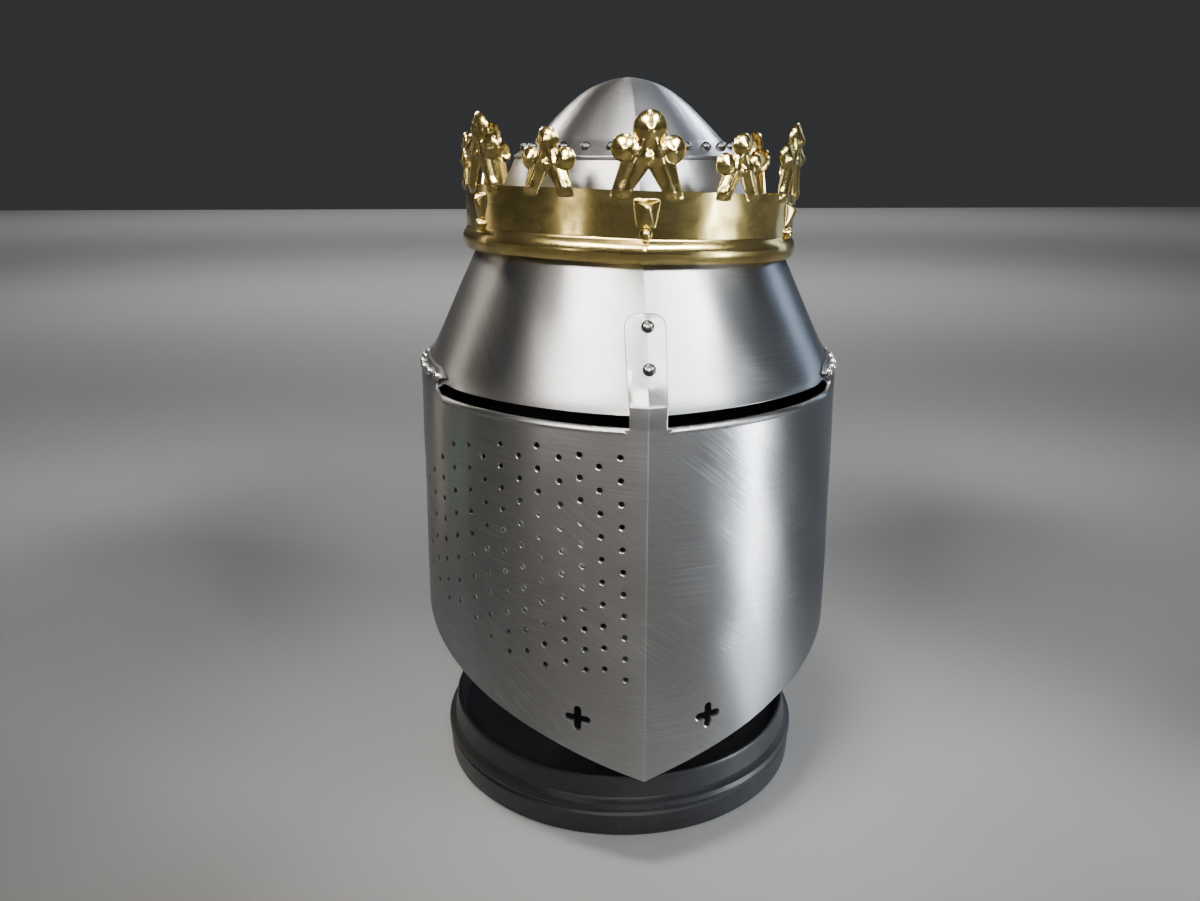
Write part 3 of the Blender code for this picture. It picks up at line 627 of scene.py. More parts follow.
class Pen:
    """Draws one material's nodes."""

    def __init__(self, name: str) -> None:
        """Starts a material with a Principled shader.

        Args:
            name: Name of the material.
        """
        self.material = bpy.data.materials.new(name)
        self.material.use_nodes = True
        self.tree = self.material.node_tree
        self.shader = self.tree.nodes["Principled BSDF"]

    def node(self, kind: str, inputs: dict[str | int, object] | None = None,
             **settings: object) -> bpy.types.Node:
        """Adds a node.

        Args:
            kind: Blender's name of the node's type.
            inputs: Values or sockets for its inputs.
            **settings: The node's own settings.

        Returns:
            The node.
        """
        node = self.tree.nodes.new(kind)
        for key, value in settings.items():
            setattr(node, key, value)
        for key, value in (inputs or {}).items():
            self.feed(node.inputs[key], value)
        return node

    def feed(self, socket: Socket, value: object) -> None:
        """Links a socket to an input, or sets the input to a value.

        Args:
            socket: The input.
            value: The socket or value.
        """
        if isinstance(value, Socket):
            self.tree.links.new(value, socket)
        else:
            socket.default_value = value

    def set(self, **values: object) -> None:
        """Feeds the shader's inputs, whose names are given with underscores."""
        for key, value in values.items():
            self.feed(self.shader.inputs[key.replace("_", " ")], value)

    def flat(self) -> Socket:
        """The place on the flat sheet."""
        return self.node("ShaderNodeUVMap", uv_map="flat").outputs["UV"]

    def solid(self) -> Socket:
        """The place in the object."""
        return self.node("ShaderNodeTexCoord").outputs["Object"]

    def noise(self, place: Socket, scale: float, detail: float = 2.0, roughness: float = 0.5) -> Socket:
        """Soft noise from 0 to 1."""
        return self.node("ShaderNodeTexNoise", {"Vector": place, "Scale": scale, "Detail": detail,
                                                "Roughness": roughness}).outputs[0]

    def grain(self, place: Socket, scale: tuple[float, float, float], detail: float,
              roughness: float = 0.5, turn: float = 0.0,
              shift: tuple[float, float, float] = (0.0, 0.0, 0.0)) -> Socket:
        """Noise with a scale of its own along each axis, on a place turned about Z and then scaled.

        Args:
            place: The place.
            scale: Waves a metre along each axis.
            detail: Octaves of the noise.
            roughness: Share of each finer octave.
            turn: Degrees by which the place is turned.
            shift: Added to the scaled place.

        Returns:
            A value from 0 to 1.
        """
        turned = self.node("ShaderNodeMapping", {"Vector": place, "Rotation": (0.0, 0.0, math.radians(turn))})
        scaled = self.node("ShaderNodeMapping", {"Vector": turned.outputs[0], "Scale": scale,
                                                 "Location": shift})
        return self.noise(scaled.outputs[0], 1.0, detail, roughness)

    def span(self, value: Socket, low: float, high: float, start: float = 0.0, end: float = 1.0) -> Socket:
        """Maps low to start and high to end, and holds both outside."""
        return self.node("ShaderNodeMapRange", {0: value, 1: low, 2: high, 3: start, 4: end}).outputs[0]

    def sum(self, kind: Sum, a: Socket | float, b: Socket | float) -> Socket:
        """Two values added or multiplied, or the higher one."""
        return self.node("ShaderNodeMath", {0: a, 1: b}, operation=kind.value).outputs[0]

    def blend(self, share: Socket, a: Socket | Colour, b: Socket | Colour) -> Socket:
        """Goes from the first colour to the second as the share goes from 0 to 1."""
        a, b = (end if isinstance(end, Socket) else (*end, 1.0) for end in (a, b))
        return self.node("ShaderNodeMix", {0: share, 6: a, 7: b}, data_type="RGBA").outputs[2]

    def bump(self, height: Socket, distance: float, strength: float = 1.0,
             under: Socket | None = None) -> Socket:
        """A normal that follows a height pattern.

        Args:
            height: The pattern.
            distance: Its depth.
            strength: Share of it that shows.
            under: Another normal that this one lies on.

        Returns:
            The normal.
        """
        inputs = {"Height": height, "Distance": distance, "Strength": strength}
        if under is not None:
            inputs["Normal"] = under
        return self.node("ShaderNodeBump", inputs).outputs[0]

    def done(self, colour: Colour) -> Material:
        """The finished material, with a plain colour for views without nodes."""
        self.material.diffuse_color = (*colour, 1.0)
        return self.material


@dataclass(frozen=True)
class SandedSteel:
    """Satin steel, sanded by hand in crossing directions, with soft waves and a faint bloom.

    Args:
        name: Name of the material.
        colour: Clean metal.
        bloom: Metal where it has tarnished a little.
        fresh: Metal that a sanding mark lays bare.
        edge_tint: Tint of its reflections at a low angle.
        roughness: Roughness of the sanded metal.
        scratch_depth: Depth of the sanding marks.
        scratch_share: Share of the fresh metal in a mark, and what a mark adds to the roughness.
        wave_depth: Depth of the soft waves.
        brushing: Anisotropy and its turn, in turns.
    """

    name: str
    colour: Colour = (0.335, 0.332, 0.328)
    bloom: Colour = (0.225, 0.220, 0.212)
    fresh: Colour = (0.86, 0.86, 0.87)
    edge_tint: Colour = (0.55, 0.57, 0.62)
    roughness: float = 0.30
    scratch_depth: float = 0.00005
    scratch_share: tuple[float, float] = (0.30, 0.08)
    wave_depth: float = 0.0006
    brushing: tuple[float, float] = (0.70, 0.25)

    # Direction in degrees, marks a metre along and across, and share
    STROKES = ((3.0, 26.0, 1150.0, 0.9), (38.0, 30.0, 1000.0, 0.8), (-31.0, 34.0, 1300.0, 0.6))

    def make(self) -> Material:
        """Draws the nodes. The marks are the highest of the strokes, each a long thin noise that
        shows in patches.

        Returns:
            The material.
        """
        pen = Pen(self.name)
        flat = pen.flat()
        marks: Socket | None = None
        for number, (turn, along, across, share) in enumerate(self.STROKES):
            lines = pen.grain(flat, (along, across, 1.0), 3.0, 0.62, turn)
            patch = pen.grain(flat, (16.0, 16.0, 1.0), 1.0, shift=(3.0 * number, 7.0 * number, 0.0))
            line = pen.sum(Sum.TIMES, pen.span(lines, 0.42, 0.74), pen.span(patch, 0.38, 0.62, 0.15, share))
            marks = line if marks is None else pen.sum(Sum.HIGHER, marks, line)
        cloud = pen.grain(flat, (11.0, 5.0, 1.0), 4.0, 0.55)
        fine = pen.grain(flat, (240.0, 240.0, 1.0), 3.0, 0.6)
        tarnish = pen.sum(Sum.TIMES, pen.span(cloud, 0.45, 0.75), pen.span(fine, 0.3, 0.8, 0.4, 1.0))
        colour = pen.blend(tarnish, self.colour, self.bloom)
        bare, rubbed = (pen.sum(Sum.TIMES, marks, share) for share in self.scratch_share)
        colour = pen.blend(bare, colour, self.fresh)
        rough = pen.span(cloud, 0.2, 0.8, self.roughness - 0.03, self.roughness + 0.05)
        waves = pen.bump(pen.grain(flat, (19.0, 13.0, 1.0), 1.0), self.wave_depth)
        pen.set(Base_Color=colour, Metallic=1.0, Roughness=pen.sum(Sum.PLUS, rough, rubbed),
                Anisotropic=self.brushing[0], Anisotropic_Rotation=self.brushing[1],
                Specular_Tint=(*self.edge_tint, 1.0), Normal=pen.bump(marks, self.scratch_depth, 1.0, waves),
                Tangent=pen.node("ShaderNodeTangent", direction_type="UV_MAP", uv_map="flat").outputs[0])
        return pen.done(self.colour)


@dataclass(frozen=True)
class ShadedInsideSteel:
    """The inside of the plates, painted near black as painted shade for the dark inside of the helm, with a
    coarse mottle.

    Args:
        name: Name of the material.
        colour: Near-black colour, painted shade for the inside of the helm.
        bare: Lighter colour of the mottle's patches.
        grit_depth: Depth of its grit.
    """

    name: str
    colour: Colour = (0.020, 0.019, 0.018)
    bare: Colour = (0.055, 0.052, 0.050)
    grit_depth: float = 0.0001

    def make(self) -> Material:
        """Draws the nodes.

        Returns:
            The material.
        """
        pen = Pen(self.name)
        place = pen.solid()
        cloud, grit = pen.noise(place, 55.0, 5.0, 0.6), pen.noise(place, 900.0, 2.0)
        pen.set(Base_Color=pen.blend(pen.span(cloud, 0.35, 0.75), self.colour, self.bare), Metallic=0.6,
                Roughness=pen.span(cloud, 0.2, 0.8, 0.70, 0.55), Normal=pen.bump(grit, self.grit_depth, 0.7))
        return pen.done(self.colour)


@dataclass(frozen=True)
class RivetSteel:
    """Smooth steel of the rivet heads, a little pitted.

    Args:
        name: Name of the material.
        colour: Colour of the metal.
        roughness: Its roughness.
        dull: Share of the colour that is left in the dull patches.
        pit_depth: Depth of its pits.
    """

    name: str
    colour: Colour
    roughness: float
    dull: float = 0.55
    pit_depth: float = 0.00006

    def make(self) -> Material:
        """Draws the nodes.

        Returns:
            The material.
        """
        pen = Pen(self.name)
        place = pen.solid()
        cloud, pits = pen.noise(place, 260.0, 3.0), pen.noise(place, 1700.0, 2.0)
        dark = tuple(self.dull * part for part in self.colour)
        pen.set(Base_Color=pen.blend(pen.span(cloud, 0.42, 0.7), self.colour, dark), Metallic=1.0,
                Roughness=pen.span(cloud, 0.25, 0.75, self.roughness - 0.05, self.roughness + 0.10),
                Normal=pen.bump(pits, self.pit_depth, 0.6))
        return pen.done(self.colour)


@dataclass(frozen=True)
class PolishedBrass:
    """Polished brass with brown and green tarnish in its patches and fine polishing lines.

    Args:
        name: Name of the material.
        colour: Clean brass.
        tarnish: Brass that has darkened.
        roughness: Roughness of the polish.
        line_depth: Depth of the polishing lines.
        wave_depth: Depth of the soft waves.
    """

    name: str
    colour: Colour = (0.66, 0.51, 0.18)
    tarnish: Colour = (0.17, 0.14, 0.045)
    roughness: float = 0.14
    line_depth: float = 0.000003
    wave_depth: float = 0.0004

    def make(self) -> Material:
        """Draws the nodes.

        Returns:
            The material.
        """
        pen = Pen(self.name)
        place = pen.solid()
        cloud, spots = pen.noise(place, 42.0, 4.0, 0.6), pen.noise(place, 420.0, 3.0, 0.6)
        lines = pen.grain(pen.flat(), (40.0, 1500.0, 1.0), 2.0, turn=2.0)
        aged = pen.sum(Sum.TIMES, pen.span(cloud, 0.42, 0.66), pen.span(spots, 0.3, 0.7, 0.45, 0.95))
        worn = pen.span(cloud, 0.3, 0.8, self.roughness, self.roughness + 0.12)
        waves = pen.bump(pen.noise(place, 60.0, 1.0), self.wave_depth)
        pen.set(Base_Color=pen.blend(aged, self.colour, self.tarnish), Metallic=1.0,
                Roughness=pen.sum(Sum.PLUS, worn, pen.span(lines, 0.4, 0.8, 0.0, 0.06)),
                Normal=pen.bump(lines, self.line_depth, 1.0, waves))
        return pen.done(self.colour)


@dataclass(frozen=True)
class BasePaint:
    """Dark satin paint over turned wood: a soft mottle, fine turning lines and worn spots.

    Args:
        name: Name of the material.
        colour: Colour of the paint.
        worn: Colour where it is rubbed.
        roughness: Its roughness.
        coat: Share of the satin coat.
        coat_roughness: Roughness of that coat.
        depths: Depths of the turning lines and of the specks.
    """

    name: str
    colour: Colour
    worn: Colour
    roughness: float
    coat: float
    coat_roughness: float = 0.32
    depths: tuple[float, float] = (0.00003, 0.00005)

    def make(self) -> Material:
        """Draws the nodes.

        Returns:
            The material.
        """
        pen = Pen(self.name)
        place = pen.solid()
        cloud = pen.noise(place, 30.0, 5.0, 0.6)
        grain = pen.grain(place, (60.0, 60.0, 1400.0), 3.0)
        specks = pen.noise(place, 900.0, 2.0)
        rub = pen.sum(Sum.TIMES, pen.span(cloud, 0.50, 0.72), pen.span(specks, 0.40, 0.62))
        colour = pen.blend(pen.span(grain, 0.3, 0.8, 0.0, 0.35), self.colour, self.worn)
        under = pen.bump(specks, self.depths[1], 0.5)
        pen.set(Base_Color=pen.blend(pen.sum(Sum.TIMES, rub, 0.6), colour, self.worn), Metallic=0.35,
                Roughness=pen.span(cloud, 0.25, 0.75, self.roughness - 0.06, self.roughness + 0.10),
                Coat_Weight=self.coat, Coat_Roughness=self.coat_roughness,
                Normal=pen.bump(grain, self.depths[0], 0.8, under))
        return pen.done(self.colour)


# The helm's pieces


@dataclass
class FacePlate:
    """The keeled lower front plate with its nasal tab, sights, breaths and chain holes.

    Args:
        form: The helm's form.
        breath_radius: Radius of a breathing hole.
        breath_sides: Sides of a breathing hole.
        breath_lean: Lean of the columns to the keel, for each metre down.
        cross_at: Arc and height of a chain hole's centre.
        cross_reach: From the centre to an arm's end.
        cross_arm: Half width of an arm.
        sight_end: The sights' round end: arc past the sight's, height above the sight's edge.
        shoulder: Height where the nasal tab's arch starts and its growth in width up to there.
        arch_power: Fullness of that arch, less for a squarer one.
        bend_lines: Distances of the bend lines from a fold, on either side.
    """

    form: HelmForm
    breath_radius: float = 0.00155
    breath_sides: int = 18
    breath_lean: float = 0.030
    cross_at: tuple[float, float] = (0.036, 0.0915)
    cross_reach: float = 0.0073
    cross_arm: float = 0.0021
    sight_end: tuple = ((0.0, 0.0), (0.0044, 0.0020), (0.0056, 0.0050), (0.0036, 0.0076),
                        (-0.0020, 0.0096), (0.0072, 0.0132))
    shoulder: tuple[float, float] = (0.2970, 1.13)
    arch_power: float = 0.60
    bend_lines: tuple = (0.0004, 0.0012)

    # Columns of breaths from the keel to the wearer's right: arc, first height, spacing, holes
    BREATHS = ((0.0137, 0.2375, 0.0119, 11), (0.0246, 0.2320, 0.0121, 10), (0.0347, 0.2370, 0.0116, 11),
               (0.0457, 0.2345, 0.0123, 10), (0.0579, 0.2390, 0.0120, 11), (0.0691, 0.2320, 0.0120, 10),
               (0.0809, 0.2360, 0.0116, 11), (0.0934, 0.2270, 0.0127, 9), (0.1056, 0.2305, 0.0123, 9),
               (0.1195, 0.2280, 0.0130, 8), (0.1330, 0.2175, 0.0120, 8), (0.1465, 0.2065, 0.0133, 6),
               (0.1590, 0.1980, 0.0133, 5))

    def breath_centres(self) -> Array:
        """The breaths' centres: down each column in even steps, and nearer to the keel the lower.

        Returns:
            Flat places.
        """
        table = np.array(self.BREATHS)
        count = table[:, 3].astype(int)
        column = np.repeat(np.arange(len(table)), count)
        row = np.arange(count.sum()) - np.repeat(np.cumsum(count) - count, count)
        height = table[column, 1] - row * table[column, 2]
        return np.stack([-(table[column, 0] - self.breath_lean * (table[0, 1] - height)), height], -1)

    def cross(self, side: Side) -> Array:
        """The loop of one chain hole: an arm with a half-round end, turned by each quarter.

        Args:
            side: The side that it is on.

        Returns:
            Corners of the loop.
        """
        angle = np.radians(np.linspace(-90, 90, 9))
        reach = self.cross_reach - self.cross_arm
        end = np.stack([reach + self.cross_arm * np.cos(angle), self.cross_arm * np.sin(angle)], -1)
        arm = np.concatenate((end, [(self.cross_arm, self.cross_arm)]))
        turns = np.arange(4) * math.pi / 2
        spin = np.array([[np.cos(turns), -np.sin(turns)], [np.sin(turns), np.cos(turns)]])
        loop = np.einsum("ijk,nj->kni", spin, arm).reshape(-1, 2)
        return loop + (side.value * self.cross_at[0], self.cross_at[1])

    def tab_side(self) -> Array:
        """The nasal tab's edge on the flat sheet, with a round arch on top: at the angle t the half
        width goes with a power of the cosine and the height with the sine.

        Returns:
            Half width and height of its points.
        """
        form = self.form
        rows = np.array([(form.sight_z, 1.0), (form.brow_z, 1.0), (form.tab_bend[0], 1.02),
                         (form.brow_z + form.tab_rise, 1.05), self.shoulder])
        scale = form.half_width / form.plate_width(0.0, rows[:, 0])
        side = np.stack([form.sight_start * rows[:, 1] * scale, rows[:, 0]], -1)
        angle = np.radians(np.linspace(0, 90, 13))[1:]
        (reach, foot), rise = side[-1], form.tab_top_z - side[-1, 1]
        arch = np.stack([reach * np.cos(angle) ** self.arch_power, foot + rise * np.sin(angle)], -1)
        return np.concatenate((dense(side, 0.003), arch))

    def outline(self) -> Array:
        """The sheet's outline, anticlockwise from the point.

        Returns:
            Corners of the loop.
        """
        form = self.form
        seam = form.seam_arc - GAP / 2
        low = np.concatenate(([0.0], np.linspace(0.0008, 0.0072, 7), np.linspace(0.010, seam, 66)))
        low = np.stack([low, form.lower_edge(low)], -1)
        end = curve_through(self.sight_end, 5) + (form.sight_arc, form.sight_z)
        side = dense([(seam, low[-1, 1]), (seam, form.lap_z), tuple(end[-1])], 0.0035)[1:-1]
        sight = dense([tuple(end[0]), (form.sight_start, form.sight_z)], 0.003)[1:-1]
        half = np.concatenate((low, side, end[::-1], sight, self.tab_side()))
        return np.concatenate((half, half[-2:0:-1] * (-1.0, 1.0)))

    def sheet(self) -> FlatSheet:
        """The flat sheet with its holes, the lines of its rims, keel, lip and tab, and its filling.

        Returns:
            The sheet, ready to be cut.
        """
        form = self.form
        outline, crosses = self.outline(), [self.cross(side) for side in Side]
        breaths, rims = ([ring(tuple(centre), radius, self.breath_sides) for centre in self.breath_centres()]
                         for radius in (self.breath_radius, self.breath_radius + EDGE_INSET))
        rims += [inset(cross, -EDGE_INSET) for cross in crosses]
        rims.append(inset(outline, EDGE_INSET))
        lines = [returned(loop) for loop in rims]
        keel = np.arange(form.point_z + 0.002, form.tab_top_z - 0.001, 0.0025)
        for arc in (-0.0024, -0.0012, -0.0006, 0.0, 0.0006, 0.0012, 0.0024):
            line = np.stack([np.full_like(keel, arc), keel], -1)
            lines.append(line[2:-3] if arc else line)
        arc = np.arange(form.sight_start + 0.003, form.sight_arc - 0.001, 0.003)
        lines += [np.stack([side.value * arc, np.full_like(arc, form.sight_z - down)], -1)
                  for down in (0.0007, 0.0016, 0.0026, form.lip_depth) for side in Side]
        reach, bend = form.sight_start * 0.93, form.tab_bend[0]
        near, far = self.bend_lines
        lines += [dense([(-reach, height), (reach, height)], 0.002)
                  for height in (form.sight_z, form.brow_z, bend - far, bend - near, bend + near,
                                 bend + far, form.brow_z + form.tab_rise)]
        sheet = FlatSheet([outline], [*breaths, *crosses], lines)
        sheet.fill((0.0030, 0.0036), 0.0012)
        return sheet

    def build(self, steel: Material, lining: Material) -> Piece:
        """Cuts the sheet, bends it to the form and gives it its thickness.

        Args:
            steel: Finish of the outside.
            lining: Finish of the inside.

        Returns:
            The plate.
        """
        flat, triangles = self.sheet().cut()
        arc, height = flat.T
        shell = two_skins(self.form.lay(arc, height), self.form.lay(arc, height, STEEL), triangles, flat)
        return shell.build("face_plate_sheet", steel, Slot.STEEL, ["face_plate"], lining=lining)


@dataclass
class NapePlate:
    """The lower back plate: a plain bent sheet with its lap over the skull.

    Args:
        form: The helm's form.
        columns: Points along the sheet.
    """

    form: HelmForm
    columns: int = 121

    def build(self, steel: Material, lining: Material) -> Piece:
        """Bends the sheet from seam to seam round the back, with closer rows where the lap bends in.

        Args:
            steel: Finish of the outside.
            lining: Finish of the inside.

        Returns:
            The plate.
        """
        form = self.form
        bend = form.skull_top_z - (form.half_width - form.lap_out - form.skull_top_width) / form.skull_slope
        rows = np.concatenate(([form.nape_z, form.nape_z + EDGE_INSET],
                               np.linspace(form.nape_z + 0.003, bend - 0.002, 44),
                               bend + np.array([-0.001, -0.0004, 0.0, 0.0004, 0.001]),
                               np.linspace(bend + 0.002, form.lap_z - EDGE_INSET, 5), [form.lap_z]))
        height, arcs = np.meshgrid(rows, form.back_arcs(self.columns), indexing="ij")
        edge = np.zeros((len(rows), 1))
        edge[[0, -1]] = EDGE_ROUND
        signed = form.wrapped(arcs)
        shell = thick_grid(form.lay(signed, height, edge), form.lay(signed, height, STEEL),
                           np.stack([arcs, height], -1))
        return shell.build("nape_plate_sheet", steel, Slot.STEEL, ["nape_plate"], lining=lining)


@dataclass
class Skull:
    """The sloping skull, in a front and a back half, with its brow lip and the edge under the dome.

    Args:
        form: The helm's form.
        flange: Width of the edge turned in under the dome.
        sight_fade: Arc over which the foot rises to the brow at the sights' ends.
        calm: Heights over which the beaten waves fade, above the laps and below the top, and the
            clear height above the laps.
    """

    form: HelmForm
    flange: float = 0.0105
    sight_fade: float = 0.006
    calm: tuple[float, float, float] = (0.02, 0.015, 0.004)

    def half(self, arcs: Array) -> Shell:
        """One half: the section runs up the slope and over the turned edge at every arc.

        Args:
            arcs: Arcs of the columns.

        Returns:
            The closed shell.
        """
        form = self.form
        signed = form.wrapped(arcs)
        front = np.clip((form.sight_arc + self.sight_fade - np.abs(signed)) / self.sight_fade, 0.0, 1.0)
        foot = form.skull_foot_z + (form.brow_z - form.skull_foot_z) * front
        share = np.concatenate(([0.0, 0.0028, 0.006], np.linspace(0.010, 0.11, 12),
                                np.linspace(0.13, 0.985, 34), [1.0]))
        height = foot + (form.skull_top_z - foot) * share[:, None]
        width = form.skull_width(height) + form.brow(signed, height)
        low, high, clear = self.calm
        calm = np.clip((height - form.lap_z - clear) / low, 0, 1)
        calm = calm * np.clip((form.skull_top_z - height) / high, 0, 1)
        width = width + calm * form.beaten(signed, height)
        inner_wall = form.half_width - STEEL - GAP
        width = np.where(np.abs(signed) < form.sight_arc, width, np.minimum(width, inner_wall))
        edge, drop = np.zeros((2, len(share), 1))
        edge[0], drop[-1] = EDGE_ROUND, STEEL * 0.9
        turned = np.linspace(0.0, self.flange, 5)[1:, None]
        rim_width = np.broadcast_to(form.skull_top_width - turned, (4, len(arcs)))
        rim_z = np.broadcast_to(form.skull_top_z + turned * form.flange_slope, (4, len(arcs)))
        outside = np.concatenate((form.around(signed, width - edge, height),
                                  form.around(signed, rim_width, rim_z)))
        inside = np.concatenate((form.around(signed, width - STEEL, height - drop),
                                 form.around(signed, rim_width, rim_z - STEEL * 1.1)))
        heights = np.concatenate((height, rim_z))
        flat = np.stack(np.broadcast_arrays(arcs, heights), -1)
        return thick_grid(outside, inside, flat)

    def build(self, steel: Material, lining: Material) -> list[Piece]:
        """Bends both halves, which meet at the sides.

        Args:
            steel: Finish of the outside.
            lining: Finish of the inside.

        Returns:
            The front half and the back half.
        """
        form = self.form
        near = (0.0, 0.0006, 0.0012, 0.0024)
        right = np.concatenate((near, np.linspace(0.005, form.seam_arc - GAP / 2, 64)))
        halves = {"skull_front": np.concatenate((-right[:0:-1], right)), "skull_back": form.back_arcs(110)}
        return [self.half(arcs).build(f"{name}_sheet", steel, Slot.STEEL, [name], lining=lining)
                for name, arcs in halves.items()]


@dataclass
class Dome:
    """The pointed top plate with its flange and keel.

    Args:
        form: The helm's form.
        profile: Half width and height of the outside, from the flange's edge up.
        columns: Points round the dome.
        keel_round: Radius of the keel.
        near: Arcs of the columns next to the keel.
        worn: Share of the first row's height over which the flange's edge is rounded.
    """

    form: HelmForm
    profile: tuple = ((0.0654, 0.3757), (0.0595, 0.3796), (0.0535, 0.3836), (0.0476, 0.3900),
                      (0.0406, 0.3970), (0.0326, 0.4043), (0.0218, 0.4118), (0.0098, 0.4164),
                      (0.0, 0.4180))
    columns: int = 180
    keel_round: float = 0.0010
    near: tuple = (0.0006, 0.0013, 0.0026, 0.0045)
    worn: float = 0.15

    def section(self) -> Array:
        """A smooth line through the profile, straight along the flange."""
        flange = dense(self.profile[:3], 0.0025)[:-1]
        return np.concatenate((flange, curve_through(self.profile[2:], 7)[:-1]))

    def rows(self) -> tuple[Array, Array]:
        """The section's outside and inside, which lies the sheet's thickness along the normal.

        Returns:
            Half width and height of both, from the flange's edge up.
        """
        line = self.section()
        step = np.gradient(line, axis=0)
        normal = np.stack([step[:, 1], -step[:, 0]], -1) / np.hypot(*step.T)[:, None]
        under = line - normal * STEEL
        under[:, 0] = np.maximum(under[:, 0], 0.0004)
        line[0] -= normal[0] * EDGE_ROUND
        first = line[0] + (line[1] - line[0]) * self.worn + normal[0] * EDGE_ROUND * (1 - self.worn)
        under_first = under[0] * (1 - self.worn) + under[1] * self.worn
        return np.insert(line, 1, first, axis=0), np.insert(under, 1, under_first, axis=0)

    def build(self, steel: Material, lining: Material) -> Piece:
        """Bends the plate: rings of the plan up to the apex, outside and inside, and a fan of
        triangles to each of the two apexes.

        Args:
            steel: Finish of the outside.
            lining: Finish of the inside.

        Returns:
            The plate.
        """
        form = self.form
        line, under = self.rows()
        share = np.linspace(0.0, 1.0, self.columns // 2 - 3)[1:]
        right = np.concatenate((self.near, self.near[-1] + (form.half_girth - self.near[-1]) * share))
        arcs = np.concatenate((-right[::-1][1:], [0.0], right))
        both = np.concatenate((line, under[::-1]))
        middle = [(*form.shift, form.apex_z), (*form.shift, form.apex_z - STEEL * 1.05)]
        points = form.around(arcs, both[:, :1], both[:, 1:], keel_round=self.keel_round).reshape(-1, 3)
        points = np.concatenate((points, middle))
        flat = np.stack(np.broadcast_arrays(arcs, both[:, 1:]), -1).reshape(-1, 2)
        flat = np.concatenate((flat, [(0.0, form.apex_z)] * 2))
        count, columns = len(line), len(arcs)
        quads = grid_faces(2 * count, columns, close_rows=True, close_columns=True)
        quads = quads[quads[:, 0] // columns != count - 1]
        inner = (quads[:, 0] // columns >= count) & (quads[:, 3] // columns > 0)
        c = np.arange(columns)
        on = (c + 1) % columns
        up, down, top = (count - 1) * columns, count * columns, len(points) - 2
        caps = [np.stack([up + c, up + on, np.full_like(c, top)], -1),
                np.stack([down + on, down + c, np.full_like(c, top + 1)], -1)]
        shell = Shell(points, [quads[~inner], quads[inner], *caps], flat, inner=1)
        return shell.build("dome_sheet", steel, Slot.STEEL, ["dome_cap"], lining=lining)


